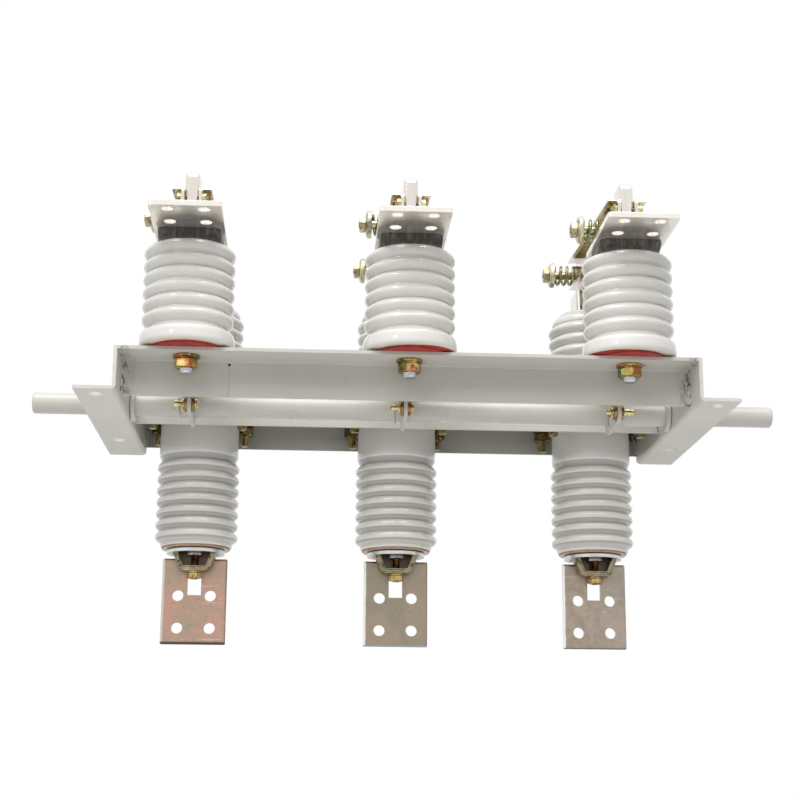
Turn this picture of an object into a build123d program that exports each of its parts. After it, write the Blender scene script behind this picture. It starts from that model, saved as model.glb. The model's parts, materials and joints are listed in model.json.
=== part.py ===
"""Indoor three-phase knife disconnector with post insulators and through-bushings.

Working axes while modelling: X runs along the shaft from pole to pole, with X = 0 on the
middle pole. Y runs from the front beam to the rear beam. Z is up, with Z = 0 on top of the
frame, where the insulators stand. place() moves everything to the part's own frame, whose
origin is on the underside of the left mounting flange, midway between its two holes.
"""
from build123d import *
from math import atan2, cos, degrees, hypot, radians, sin, sqrt
import os

os.makedirs("parts", exist_ok=True)

# ------------------------------------------------------------------ overall sizes, mm
PHASE_PITCH = 250.0         # pole to pole along X
FRAME_DEPTH = 356.0         # end angles, front to back
POLES = {"left": -PHASE_PITCH, "middle": 0.0, "right": PHASE_PITCH}

# ------------------------------------------------------------------ steel frame
ANGLE_T = 4.0               # thickness of every angle
ANGLE_LEG = 50.0            # end angle uprights and beam flanges
END_FLANGE = 47.0           # mounting flange, from the inside of the upright
FRONT_WEB = 45.0            # depth of the front beam
BAY_WEB = 40.0              # depth of the middle and rear beams
HEEL_R = 5.5                # outer bend of the end angles
BEAM_HEEL_R = 3.0           # outer bend of the beams
ROOT_R = 1.5                # inner bend
POLE_TO_LEG = 78.0          # outer pole to outer face of the end angle
MOUNT_HOLE = 18.0           # holes in the mounting flanges
MOUNT_INSET = 22.0          # hole to the leg's outer face
MOUNT_FRONT = 25.0          # front hole from the front end
MOUNT_SPAN = 240.0          # front hole to rear hole
BUSHING_FROM_REAR = 70.0    # bushing axis from the rear end of the frame
BAY_FRONT = 75.0            # bushing axis to the front face of the middle beam's web

LEG_X = PHASE_PITCH + POLE_TO_LEG
LEG_IN = LEG_X - ANGLE_T
POST_Y = ANGLE_LEG / 2
BUSH_Y = FRAME_DEPTH - BUSHING_FROM_REAR
MID_WEB_Y = BUSH_Y - BAY_FRONT

# ------------------------------------------------------------------ fasteners
STUD_D = 16.0               # post fixing stud
STUD_AF = 24.0
STUD_HOLE = 18.0            # in the front beam
BOLT12_D = 12.0             # bushing flange bolts
BOLT12_AF = 19.0
BOLT10_D = 10.0             # blade, crank and strap bolts
BOLT10_AF = 17.0
NUT10_H = 8.0
HEAD10_H = 7.0
RUN_FIT = 0.05              # radial clearance of a pin or shaft that turns
SLIDE_GAP = 0.3             # between blade webs and the contacts

# ------------------------------------------------------------------ post insulator
GASKET_D = 84.0
GASKET_T = 3.0              # two discs together
GASKET_SHIFT = {"left": 0.0, "middle": 10.0, "right": -10.0}   # upper disc, as fitted
POST_H = 117.0              # porcelain alone
RIB_R = 51.5
CORE_R = 44.0
RIB_TIP = 3.6               # flat of a rib's crest
POST_RIBS = 6
POST_BASE_R = 53.5
POST_BASE_H = 17.0
POST_FIRST_RIB = 31.0       # first crest above the base
POST_LAST_RIB = 8.0         # last crest below the top
CAP_RING_R = 38.5
CAP_RING_H = 6.0
CAP_BLOCK = 71.0
CAP_BLOCK_H = 9.0
CAP_CORNER = 10.0

# ------------------------------------------------------------------ terminals, contacts
TERM_W = 80.0
TERM_T = 6.0
TERM_FRONT = 105.5          # front end of the top terminal ahead of the post axis
TERM_BACK = 39.0
TERM_HOLE = 13.5
TERM_GRID = 40.0            # both hole spacings
TERM_EDGE = 12.5            # first hole row to the front end
FINGER_T = 16.0
FINGER_Y0 = -10.0           # from the post axis
FINGER_Y1 = 26.0
FINGER_H = 72.0
POST_TOP = GASKET_T + POST_H
SEAT_Z = POST_TOP + CAP_RING_H + CAP_BLOCK_H + TERM_T

# ------------------------------------------------------------------ bushing
FLANGE_X = 150.0
FLANGE_Y = 130.0
FLANGE_T = 12.0
FLANGE_CORNER = 14.0
FLANGE_BOLT_X = 55.0
FLANGE_BOLT_Y = 50.0
NOTCH_CLEAR = 2.5           # beam notch round the bushing's collar
COLLAR_R = 49.5
COLLAR_DOWN = 65.0
BUSH_RIB_R = 51.0
UPPER_RIBS = 6
UPPER_FIRST = 32.0          # first crest above the frame
UPPER_LAST = 24.0           # last crest below the top
BUSH_TOP = 131.0            # porcelain's upper end
TOP_RING_R = 37.5
TOP_RING_H = 4.0
DOME_R = 46.0
LOWER_DOWN = 182.0
LOWER_RIBS = 7
LOWER_FIRST = 15.0          # first crest below the collar
LOWER_LAST = 9.6            # last crest above the bottom
END_GASKET_R = 43.0
END_GASKET_T = 4.0
END_DISC_R = 36.0
END_DISC_T = 4.0
DISC_Z = -LOWER_DOWN - END_GASKET_T - END_DISC_T

# ------------------------------------------------------------------ lower terminal, strap
TAIL_T = 9.0
TAIL_FRONT = -5.0           # front face from the bushing axis
TAIL_SHOULDER = 5.5         # shoulders below the disc
TAIL_LEN = 106.0
TAIL_HOLE = 14.0
TAIL_EDGE = 20.0            # lowest hole row above the lower end
NECK_W = 44.0
SLOT_W = 17.0
SLOT_H = 22.0
STRAP_T = 3.0
STRAP_W = 19.0
STRAP_TOP = 27.0            # half width at the disc
STRAP_FOOT = 14.0           # half width at the foot
STRAP_DROP = 22.7

# ------------------------------------------------------------------ blades
BLADE_H = 42.0
BLADE_UP = 2.0              # blade's middle line above the line of its bolts
BLADE_TILT = 4.2            # closed blades slope down to the fixed contacts, degrees
HINGE_BACK = 2.0            # hinge axis behind the bushing axis
HINGE_RISE = 57.0           # hinge axis above the bushing's top
WEB_T = 3.5
FLANGE_OUT = 14.0           # channel width, web included
LIP_T = 3.0
BLADE_REACH = 280.8         # hinge axis to the blade's tip
CLAMP_REACH = 222.6         # hinge axis to the clamp bolt
TIP_NUT_REACH = 273.5
TIP_NUT_UP = 11.0
TIP_NUT_D = 8.0
TIP_NUT_AF = 13.0
LOCK_W = 9.0                # lock bar under each upper lip
LOCK_T = 3.0
LOCK_FROM = 28.0            # its ends, from the hinge axis
LOCK_TO = 262.0
SPRING_R = 11.6             # to the wire's centre
SPRING_WIRE = 3.2
SPRING_LEN = 31.5           # web to cup, washer included
SPRING_TURNS = 3.0
SEAT_WASHER_R = 13.5
SEAT_WASHER_T = 4.0
CUP_R = 16.3
CUP_T = 7.0
HINGE_Y = BUSH_Y + HINGE_BACK
HINGE_Z = BUSH_TOP + HINGE_RISE
WEB_IN = FINGER_T / 2 + SLIDE_GAP
WEB_OUT = WEB_IN + WEB_T
FOOT_TOP = HINGE_Z - BLADE_H / 2 - 6.0
FOOT_W = 36.0               # hinge contact's foot
FOOT_L = 52.0

# ------------------------------------------------------------------ shaft and linkage
SHAFT_D = 25.0              # stub ends
SHAFT_MID_D = SHAFT_D + 2.0 # between them, and in the bearings
BEARING_WALL = 2.0
BEARING_CLEAR = 0.5         # bearing to the mounting flange below it
SHOULDER_OUT = 3.0          # step down to the stub, past the bearing
SHAFT_AHEAD = 128.0         # shaft axis ahead of the bushing axis
SHAFT_Z = -ANGLE_LEG + ANGLE_T + BEARING_CLEAR + BEARING_WALL + SHAFT_MID_D / 2
STUB_LEFT = 111.0           # stub past the end angle
STUB_RIGHT = 121.0
COLLAR_D = 39.0
COLLAR_W = 5.0
COLLAR_GAP = 1.0
BEARING_OUT = 8.0           # sleeve past the leg's outer face
CRANK_LEN = 62.0
CRANK_DROP = 11.0           # degrees below level, pointing forward
CRANK_T = 4.5
CRANK_HUB_R = 18.0
CRANK_EYE_R = 12.0
CRANK_LOW = 25.5            # lowest point of the plate below the shaft axis
CRANK_LOW_R = 4.0
CRANK_GAP = 0.5             # crank plate to fork arm
FORK_T = 3.0                # arms of the rod's lower fork
FORK_R = 9.0
PIN_HEAD_R = 6.5
PIN_HEAD_T = 4.5
PIN_TAIL = 12.0             # pin past the fork arm, for its split pin
PIN_PLAY = 0.3              # fork arm to head or washer
EYE_T = 10.0                # rod's upper eye
EYE_R = 11.0
PIN_D = 8.0                 # blade pivot pin and crank pin
OPEN_FIT = 0.25             # radial clearance at the blade pivot pin
ROD_CORE_R = 17.0
ROD_RIB_R = 22.0
ROD_RIBS = 8
ROD_BODY = 146.0            # insulating body
ROD_STEM_R = 10.0
FORK_LEN = 38.0             # crank pin to the fork's bridge
BRIDGE_T = 8.0
STEM_HIGH = 22.0            # and this far from the blade pin

SHAFT_Y = BUSH_Y - SHAFT_AHEAD
CRANK_DY = -CRANK_LEN * cos(radians(CRANK_DROP))
CRANK_DZ = -CRANK_LEN * sin(radians(CRANK_DROP))
CRANK_PIN = (SHAFT_Y + CRANK_DY, SHAFT_Z + CRANK_DZ)
BLADE_PIN = (HINGE_Y + CRANK_DY, HINGE_Z + CRANK_DZ)
ROD_DY = HINGE_Y - SHAFT_Y
ROD_DZ = HINGE_Z - SHAFT_Z
ROD_LEN = hypot(ROD_DY, ROD_DZ)
ROD_TILT = degrees(atan2(ROD_DY, ROD_DZ))

# part origin, in the working axes
ORIGIN_X = -(LEG_X + MOUNT_INSET)
ORIGIN_Y = MOUNT_FRONT + MOUNT_SPAN / 2
ORIGIN_Z = -ANGLE_LEG


# ------------------------------------------------------------------ helpers
def place(shape):
    """Move a shape from the working axes to the part's own frame."""
    return Pos(-ORIGIN_X, -ORIGIN_Y, -ORIGIN_Z) * shape


def save(node, shapes):
    """Write one node, as the separate solids of the given shapes."""
    solids = [place(solid) for shape in shapes for solid in shape.solids()]
    export_step(Compound(solids), "parts/" + node + ".step")


def section(points):
    """A closed face through the given points, in the local XY plane."""
    return make_face(Polyline(*points, close=True))


def rounded(face, spots):
    """Round the corners of a face nearest to (x, y), each by its radius."""
    for (x, y), radius in spots:
        corner = face.vertices().sort_by_distance(Vector(x, y, 0))[0]
        face = fillet(corner, radius)
    return face


def along_x(face, x0, x1):
    """Extrude a Y-Z outline from x0 to x1."""
    return Pos(x0, 0, 0) * extrude(Plane.YZ * face, amount=x1 - x0)


def along_y(face, y0, y1):
    """Extrude an X-Z outline from y0 to y1."""
    return Pos(0, y0, 0) * extrude(Plane.XZ * face, amount=-(y1 - y0))


def along_z(face, z0, z1):
    """Extrude an X-Y outline from z0 to z1."""
    return Pos(0, 0, z0) * extrude(face, amount=z1 - z0)


def bar_x(radius, x0, x1, y, z):
    return along_x(Pos(y, z) * Circle(radius), x0, x1)


def bar_y(radius, y0, y1, x, z):
    return along_y(Pos(x, z) * Circle(radius), y0, y1)


def bar_z(radius, z0, z1, x, y):
    return along_z(Pos(x, y) * Circle(radius), z0, z1)


def hexagon(across_flats, turn=0.0):
    return Rot(0, 0, turn) * RegularPolygon(across_flats / 2, 6, major_radius=False)


def hex_x(across_flats, x0, x1, y, z):
    return along_x(Pos(y, z) * hexagon(across_flats, 30), x0, x1)


def hex_z(across_flats, z0, z1, x, y):
    return along_z(Pos(x, y) * hexagon(across_flats), z0, z1)


def turned(points):
    """Revolve a radius-height outline about Z."""
    return revolve(Plane.XZ * section(points), Axis.Z)


def crests(first, last, count):
    """Heights of evenly spaced rib crests."""
    return [first + (last - first) * i / (count - 1) for i in range(count)]


def rib_points(heights, core, rib, tip):
    """Outline of ribs that meet in a valley midway between their crests."""
    half = abs(heights[1] - heights[0]) / 2
    points = [(core, heights[0] - half)]
    for z in heights:
        points += [(rib, z - tip / 2), (rib, z + tip / 2), (core, z + half)]
    return points


# ------------------------------------------------------------------ frame
def end_angle(side):
    """Bent end angle: upright leg to the beams, flange outward at the bottom."""
    low = -ANGLE_LEG
    tip = LEG_IN + END_FLANGE
    face = section([(LEG_IN, 0), (LEG_X, 0), (LEG_X, low + ANGLE_T),
                    (tip, low + ANGLE_T), (tip, low), (LEG_IN, low)])
    face = rounded(face, [((LEG_IN, low), HEEL_R), ((LEG_X, low + ANGLE_T), ROOT_R)])
    angle = along_y(face, 0, FRAME_DEPTH)
    for y in (MOUNT_FRONT, MOUNT_FRONT + MOUNT_SPAN):
        angle -= bar_z(MOUNT_HOLE / 2, low - 1, low + ANGLE_T + 1, LEG_X + MOUNT_INSET, y)
    angle -= bar_x(SHAFT_MID_D / 2 + BEARING_WALL, LEG_IN - 1, LEG_X + 1, SHAFT_Y, SHAFT_Z)
    return angle if side > 0 else mirror(angle, Plane.YZ)


def beam(web_y, flange_to, depth):
    """Cross beam: web hangs from web_y, flange on top runs to flange_to."""
    inward = 1 if flange_to > web_y else -1
    back = web_y + inward * ANGLE_T
    face = section([(web_y, 0), (flange_to, 0), (flange_to, -ANGLE_T), (back, -ANGLE_T),
                    (back, -depth), (web_y, -depth)])
    face = rounded(face, [((web_y, 0), BEAM_HEEL_R), ((back, -ANGLE_T), ROOT_R)])
    return along_x(face, -LEG_IN, LEG_IN)


def front_beam():
    rail = beam(ANGLE_LEG, 0.0, FRONT_WEB)
    for x in POLES.values():
        rail -= bar_z(STUD_HOLE / 2, -ANGLE_T - 1, 1, x, POST_Y)
    return rail


def bay_beam(web_y, flange_to, bolt_y):
    """Middle or rear beam, notched for the bushings and drilled for their flanges."""
    rail = beam(web_y, flange_to, BAY_WEB)
    for x in POLES.values():
        rail -= bar_z(COLLAR_R + NOTCH_CLEAR, -ANGLE_T - 1, 1, x, BUSH_Y)
        for dx in (-FLANGE_BOLT_X, FLANGE_BOLT_X):
            rail -= bar_z(BOLT12_D / 2 + 1, -ANGLE_T - 1, 1, x + dx, bolt_y)
    return rail


def bearing(side):
    """Sleeve welded in an end angle; the shaft turns in it."""
    outer = SHAFT_MID_D / 2 + BEARING_WALL
    x0, x1 = LEG_IN, LEG_X + BEARING_OUT
    if side < 0:
        x0, x1 = -x1, -x0
    sleeve = bar_x(outer, x0, x1, SHAFT_Y, SHAFT_Z)
    return sleeve - bar_x(SHAFT_MID_D / 2 + RUN_FIT, x0 - 1, x1 + 1, SHAFT_Y, SHAFT_Z)


# ------------------------------------------------------------------ post side
def post_fixing(x):
    """Stud through the beam with flat washer, spring washer and nut below."""
    low = -ANGLE_T
    stud = bar_z(STUD_D / 2, low - 19.5, GASKET_T, x, POST_Y)
    stud += bar_z(15.0, low - 3.0, low, x, POST_Y)
    stud += bar_z(12.5, low - 4.5, low - 3.0, x, POST_Y)
    return stud + hex_z(STUD_AF, low - 16.0, low - 4.5, x, POST_Y)


def post_gasket(x, shift):
    """Two sheet discs with clearance holes; the upper one is fitted off centre."""
    half = GASKET_T / 2
    hole = bar_z(STUD_D / 2, -1, GASKET_T + 1, x, POST_Y)
    return [bar_z(GASKET_D / 2, 0, half, x, POST_Y) - hole,
            bar_z(GASKET_D / 2, half, GASKET_T, x + shift, POST_Y) - hole]


def post_insulator(x):
    base = GASKET_T
    top = POST_TOP
    heights = crests(base + POST_FIRST_RIB, top - POST_LAST_RIB, POST_RIBS)
    outline = [(0, base), (POST_BASE_R - 1, base), (POST_BASE_R, base + 1),
               (POST_BASE_R, base + POST_BASE_H - 2), (POST_BASE_R - 2, base + POST_BASE_H)]
    outline += rib_points(heights, CORE_R, RIB_R, RIB_TIP)[:-1]
    outline += [(CAP_RING_R + 3, top), (0, top)]
    return Pos(x, POST_Y) * turned(outline)


def post_cap(x):
    """Cast cap: round foot, square head whose corners are relieved by a cone."""
    z1 = POST_TOP + CAP_RING_H
    z2 = z1 + CAP_BLOCK_H
    head = along_z(RectangleRounded(CAP_BLOCK, CAP_BLOCK, CAP_CORNER), z1, z2)
    cone = turned([(0, z1), (CAP_RING_R, z1), (CAP_RING_R + CAP_BLOCK_H, z2), (0, z2)])
    foot = bar_z(CAP_RING_R, POST_TOP, z1, 0, 0)
    return Pos(x, POST_Y) * (foot + (head & cone))


def top_terminal(x):
    y0 = POST_Y - TERM_FRONT
    y1 = POST_Y + TERM_BACK
    plate = RectangleRounded(TERM_W, y1 - y0, 4.0)
    plate = Pos(x, (y0 + y1) / 2) * plate
    for dx in (-TERM_GRID / 2, TERM_GRID / 2):
        for dy in (TERM_EDGE, TERM_EDGE + TERM_GRID):
            plate -= Pos(x + dx, y0 + dy) * Circle(TERM_HOLE / 2)
    return along_z(plate, SEAT_Z - TERM_T, SEAT_Z)


def fixed_contact(x):
    """Upright finger that the blades straddle; its top corners are rounded."""
    y0 = POST_Y + FINGER_Y0
    y1 = POST_Y + FINGER_Y1
    top = SEAT_Z + FINGER_H
    face = section([(y0, SEAT_Z), (y1, SEAT_Z), (y1, top), (y0, top)])
    face = rounded(face, [((y0, top), 8.0), ((y1, top), 8.0)])
    finger = along_x(face, x - FINGER_T / 2, x + FINGER_T / 2)
    ridge = finger.faces().sort_by(Axis.Z)[-1].edges().filter_by(Axis.Y)
    return chamfer(ridge, 2.5)


# ------------------------------------------------------------------ bushing side
def bushing_flange(x):
    """Cast plate with a raised ring that grips the porcelain's collar."""
    plate = along_z(RectangleRounded(FLANGE_X, FLANGE_Y, FLANGE_CORNER), 0, FLANGE_T)
    plate -= bar_z(COLLAR_R, -1, FLANGE_T + 1, 0, 0)
    for dx in (-FLANGE_BOLT_X, FLANGE_BOLT_X):
        for dy in (-FLANGE_BOLT_Y, FLANGE_BOLT_Y):
            plate -= bar_z(BOLT12_D / 2 + 1, -1, FLANGE_T + 1, dx, dy)
    return Pos(x, BUSH_Y) * plate


def flange_bolt(x, y):
    """Bolt head on the flange, nut under the beam, long thread below it."""
    bolt = bar_z(BOLT12_D / 2, -41.0, FLANGE_T, x, y)
    bolt += hex_z(BOLT12_AF, FLANGE_T, FLANGE_T + 7.5, x, y)
    bolt += bar_z(12.0, -ANGLE_T - 2.5, -ANGLE_T, x, y)
    return bolt + hex_z(BOLT12_AF, -ANGLE_T - 12.5, -ANGLE_T - 2.5, x, y)


def bushing(x):
    """Porcelain in one piece: ribbed top, collar through the flange, ribbed tail."""
    top = BUSH_TOP
    bottom = -LOWER_DOWN
    collar = -COLLAR_DOWN
    low = crests(bottom + LOWER_LAST, collar - LOWER_FIRST, LOWER_RIBS)
    high = crests(UPPER_FIRST, top - UPPER_LAST, UPPER_RIBS)
    outline = [(0, bottom), (END_GASKET_R, bottom)]
    outline += rib_points(low, CORE_R, RIB_R, RIB_TIP)[1:]
    outline += [(CORE_R, collar - 1), (COLLAR_R - 2, collar), (COLLAR_R, collar + 4),
                (COLLAR_R, FLANGE_T)]
    outline += rib_points(high, CORE_R, BUSH_RIB_R, RIB_TIP)
    ring = top - TOP_RING_H
    outline += [(DOME_R, ring - 9), (DOME_R - 1.5, ring - 4), (TOP_RING_R + 1.5, ring),
                (TOP_RING_R, ring), (TOP_RING_R, top), (0, top)]
    return Pos(x, BUSH_Y) * turned(outline)


def hinge_contact(x):
    """Foot on the bushing and an upright tongue between the blades, bored for the bolt."""
    foot = along_z(Pos(x, HINGE_Y) * RectangleRounded(FOOT_W, FOOT_L, 5.0), BUSH_TOP, FOOT_TOP)
    half = BLADE_H / 2
    tongue = section([(HINGE_Y - half, FOOT_TOP), (HINGE_Y + half, FOOT_TOP),
                      (HINGE_Y + half, HINGE_Z), (HINGE_Y - half, HINGE_Z)])
    tongue += Pos(HINGE_Y, HINGE_Z) * Circle(half)
    tongue -= Pos(HINGE_Y, HINGE_Z) * Circle(BOLT10_D / 2 + RUN_FIT)
    return foot + along_x(tongue, x - FINGER_T / 2, x + FINGER_T / 2)


def end_gasket(x):
    ring = bar_z(END_GASKET_R, -LOWER_DOWN - END_GASKET_T, -LOWER_DOWN, x, BUSH_Y)
    return ring


def end_disc(x):
    return bar_z(END_DISC_R, DISC_Z, DISC_Z + END_DISC_T, x, BUSH_Y)


def strap(x):
    """Flat bar bent to a trapezoid, hung from the disc in front of the tail."""
    slope = hypot(STRAP_TOP - STRAP_FOOT, STRAP_DROP)
    side = STRAP_T * slope / STRAP_DROP
    foot = DISC_Z - STRAP_DROP
    inner_foot = STRAP_FOOT - side + STRAP_T * (STRAP_TOP - STRAP_FOOT) / STRAP_DROP
    face = section([(-STRAP_TOP, DISC_Z), (-STRAP_FOOT, foot), (STRAP_FOOT, foot),
                    (STRAP_TOP, DISC_Z), (STRAP_TOP - side, DISC_Z),
                    (inner_foot, foot + STRAP_T), (-inner_foot, foot + STRAP_T),
                    (-STRAP_TOP + side, DISC_Z)])
    face = rounded(face, [((-STRAP_FOOT, foot), 4.0), ((STRAP_FOOT, foot), 4.0)])
    y1 = BUSH_Y + TAIL_FRONT
    bent = along_y(Pos(x, 0) * face, y1 - STRAP_W, y1)
    return bent - bar_z(BOLT10_D / 2, foot - 1, foot + STRAP_T + 1, x, y1 - STRAP_W / 2)


def strap_bolt(x):
    """Bolt up through the strap's foot, with its nut under the disc."""
    y = BUSH_Y + TAIL_FRONT - STRAP_W / 2
    foot = DISC_Z - STRAP_DROP
    bolt = bar_z(BOLT10_D / 2, foot - 3.0, DISC_Z, x, y)
    bolt += bar_z(STRAP_W / 2 - 0.3, foot - 2.0, foot, x, y)
    bolt += hex_z(BOLT10_AF, foot - 2.0 - HEAD10_H, foot - 2.0, x, y)
    return bolt + hex_z(BOLT10_AF, DISC_Z - NUT10_H, DISC_Z, x, y)


def bottom_terminal(x):
    """Upright plate under the bushing: neck, four holes and one slot, rounded edges."""
    top = DISC_Z - TAIL_SHOULDER
    low = top - TAIL_LEN
    half = TERM_W / 2
    face = section([(-half, low), (half, low), (half, top), (NECK_W / 2, top),
                    (NECK_W / 2, DISC_Z), (-NECK_W / 2, DISC_Z), (-NECK_W / 2, top),
                    (-half, top)])
    face = rounded(face, [((-half, low), 2.0), ((half, low), 2.0),
                          ((half, top), 2.0), ((-half, top), 2.0)])
    for dx in (-TERM_GRID / 2, TERM_GRID / 2):
        for dz in (TAIL_EDGE, TAIL_EDGE + TERM_GRID):
            face -= Pos(dx, low + dz) * Circle(TAIL_HOLE / 2)
    slot_low = low + TAIL_EDGE + TERM_GRID + 0.5
    face -= Pos(0, slot_low + SLOT_H / 2) * Rectangle(SLOT_W, SLOT_H)
    y0 = BUSH_Y + TAIL_FRONT
    plate = along_y(Pos(x, 0) * face, y0, y0 + TAIL_T)
    sides = [e for e in plate.edges().filter_by(Axis.Z) if abs(abs(e.center().X - x) - half) < 0.1]
    return fillet(sides, TAIL_T / 2 - 0.6)


# ------------------------------------------------------------------ shaft
def main_shaft():
    """One bar with a collar inside each end angle and a stepped-down stub at each end."""
    end = LEG_IN - COLLAR_GAP
    step = LEG_X + BEARING_OUT + SHOULDER_OUT
    mid, stub, collar = SHAFT_MID_D / 2, SHAFT_D / 2, COLLAR_D / 2
    outline = [(-LEG_X - STUB_LEFT, 0), (-LEG_X - STUB_LEFT, stub - 1.5),
               (-LEG_X - STUB_LEFT + 1.5, stub), (-step, stub), (-step, mid), (-end, mid),
               (-end, collar), (-end + COLLAR_W, collar), (-end + COLLAR_W, mid),
               (end - COLLAR_W, mid), (end - COLLAR_W, collar), (end, collar), (end, mid),
               (step, mid), (step, stub), (LEG_X + STUB_RIGHT - 1.5, stub),
               (LEG_X + STUB_RIGHT, stub - 1.5), (LEG_X + STUB_RIGHT, 0)]
    return Pos(0, SHAFT_Y, SHAFT_Z) * revolve(section(outline), Axis.X)


def crank_arm(x):
    """Crank plate: hub on the shaft with a low heel, round eye on the pin."""
    hub = Circle(CRANK_HUB_R)
    heel = Pos(0, -CRANK_LOW + CRANK_LOW_R) * Circle(CRANK_LOW_R)
    eye = Pos(CRANK_DY, CRANK_DZ) * Circle(CRANK_EYE_R)
    face = make_hull(hub.edges() + heel.edges() + eye.edges())
    face -= Circle(SHAFT_MID_D / 2)
    face -= Pos(CRANK_DY, CRANK_DZ) * Circle(PIN_D / 2)
    return along_x(Pos(SHAFT_Y, SHAFT_Z) * face, x - CRANK_T / 2, x + CRANK_T / 2)


def crank_pin(x, side):
    """Pin through the crank and the fork: head on one side, washer and long tail on the other."""
    y, z = CRANK_PIN
    arm = CRANK_T / 2 + CRANK_GAP + FORK_T + PIN_PLAY
    pin = bar_x(PIN_D / 2, -arm - PIN_TAIL, arm, y, z)
    pin += bar_x(PIN_HEAD_R, arm, arm + PIN_HEAD_T, y, z)
    pin += bar_x(PIN_HEAD_R, -arm - 1.6, -arm, y, z)
    return Pos(x, 0, 0) * (pin if side > 0 else mirror(pin, Plane.YZ))


# ------------------------------------------------------------------ pull rod
def rod_place(x, shape):
    """Stand a rod piece, built up Z from its lower eye, on the crank pin."""
    return Pos(x, CRANK_PIN[0], CRANK_PIN[1]) * Rot(-ROD_TILT, 0, 0) * shape


def rod_fork():
    """Lower end: two arms astride the crank, a bridge and a round stem to the body."""
    inner = CRANK_T / 2 + CRANK_GAP
    face = Circle(FORK_R) + Pos(0, FORK_LEN / 2) * Rectangle(2 * FORK_R, FORK_LEN)
    face -= Circle(PIN_D / 2 + RUN_FIT)
    fork = along_x(face, inner, inner + FORK_T) + along_x(face, -inner - FORK_T, -inner)
    bridge = Pos(0, FORK_LEN + BRIDGE_T / 2) * Rectangle(2 * FORK_R, BRIDGE_T)
    fork += along_x(bridge, -inner - FORK_T, inner + FORK_T)
    return fork + bar_z(ROD_STEM_R, FORK_LEN + BRIDGE_T - 3.0, ROD_LEN / 2 - ROD_BODY / 2, 0, 0)


def rod_eye():
    """Upper end: flat eye on the blades' pin, with a round stem to the body."""
    face = Pos(0, ROD_LEN) * Circle(EYE_R)
    reach = STEM_HIGH + 4.0
    face += Pos(0, ROD_LEN - reach / 2) * Rectangle(EYE_R * 1.5, reach)
    face -= Pos(0, ROD_LEN) * Circle(PIN_D / 2 + OPEN_FIT)
    eye = along_x(face, -EYE_T / 2, EYE_T / 2)
    return eye + bar_z(ROD_STEM_R, ROD_LEN / 2 + ROD_BODY / 2, ROD_LEN - STEM_HIGH, 0, 0)


def rod_ends(x):
    return [rod_place(x, rod_fork()), rod_place(x, rod_eye())]


def rod_insulator(x):
    """Moulded insulating body with shallow ribs."""
    z0 = ROD_LEN / 2 - ROD_BODY / 2
    z1 = z0 + ROD_BODY
    pitch = ROD_BODY / ROD_RIBS
    heights = crests(z0 + pitch / 2, z1 - pitch / 2, ROD_RIBS)
    outline = [(0, z0)] + rib_points(heights, ROD_CORE_R, ROD_RIB_R, 4.0) + [(0, z1)]
    return rod_place(x, turned(outline))


# ------------------------------------------------------------------ blades
def blade_place(x, shape):
    """Hang a piece, built level with the hinge axis at zero, at the closed blade's slope."""
    return Pos(x, HINGE_Y, HINGE_Z) * Rot(BLADE_TILT, 0, 0) * shape


def on_blade(ahead, up):
    """Working-axis (Y, Z) of a point ahead of the hinge axis and above the bolt line."""
    turn = radians(BLADE_TILT)
    return (HINGE_Y - ahead * cos(turn) - up * sin(turn),
            HINGE_Z - ahead * sin(turn) + up * cos(turn))


def channel(x, side):
    """One blade: outward-facing channel, round at the hinge, drilled for its bolts."""
    z0 = BLADE_UP - BLADE_H / 2
    z1 = BLADE_UP + BLADE_H / 2
    a, b, c = (side * v for v in (WEB_IN, WEB_OUT, WEB_IN + FLANGE_OUT))
    outline = section([(a, z0), (c, z0), (c, z0 + LIP_T), (b, z0 + LIP_T),
                       (b, z1 - LIP_T), (c, z1 - LIP_T), (c, z1), (a, z1)])
    bar = along_y(outline, -BLADE_REACH, BLADE_H / 2)
    side_view = section([(-BLADE_REACH, z0), (0, z0), (0, z1), (-BLADE_REACH, z1)])
    side_view = rounded(side_view, [((-BLADE_REACH, z0), 6.0), ((-BLADE_REACH, z1), 6.0)])
    side_view += Pos(0, BLADE_UP) * Circle(BLADE_H / 2)
    bar &= along_x(side_view, -30, 30)
    blade = blade_place(x, bar)
    for (y, z), d in (((HINGE_Y, HINGE_Z), BOLT10_D), (BLADE_PIN, PIN_D),
                      (on_blade(CLAMP_REACH, 0), BOLT10_D),
                      (on_blade(TIP_NUT_REACH, TIP_NUT_UP), TIP_NUT_D)):
        blade -= bar_x(d / 2, x - 30, x + 30, y, z)
    return blade


def blade_pair(x):
    return [channel(x, -1), channel(x, 1)]


def lock_bar(x, side):
    """Flat steel bar that lies under the upper lip, against the web."""
    top = BLADE_UP + BLADE_H / 2 - LIP_T
    x0, x1 = sorted((side * WEB_OUT, side * (WEB_OUT + LOCK_W)))
    face = section([(-LOCK_TO, top - LOCK_T), (-LOCK_FROM, top - LOCK_T),
                    (-LOCK_FROM, top), (-LOCK_TO, top)])
    return blade_place(x, along_x(face, x0, x1))


def spring_bolt(x, y, z):
    """Clamp bolt: head in the right channel, washer, spring cup and nut outside the left."""
    cup_x = x - WEB_OUT - SPRING_LEN
    bolt = bar_x(BOLT10_D / 2, cup_x - CUP_T - NUT10_H, x + WEB_OUT, y, z)
    bolt += hex_x(BOLT10_AF, x + WEB_OUT, x + WEB_OUT + HEAD10_H, y, z)
    bolt += bar_x(SEAT_WASHER_R, x - WEB_OUT - SEAT_WASHER_T, x - WEB_OUT, y, z)
    bolt += bar_x(CUP_R, cup_x - CUP_T, cup_x, y, z)
    return bolt + hex_x(BOLT10_AF, cup_x - CUP_T - NUT10_H, cup_x - CUP_T, y, z)


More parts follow.
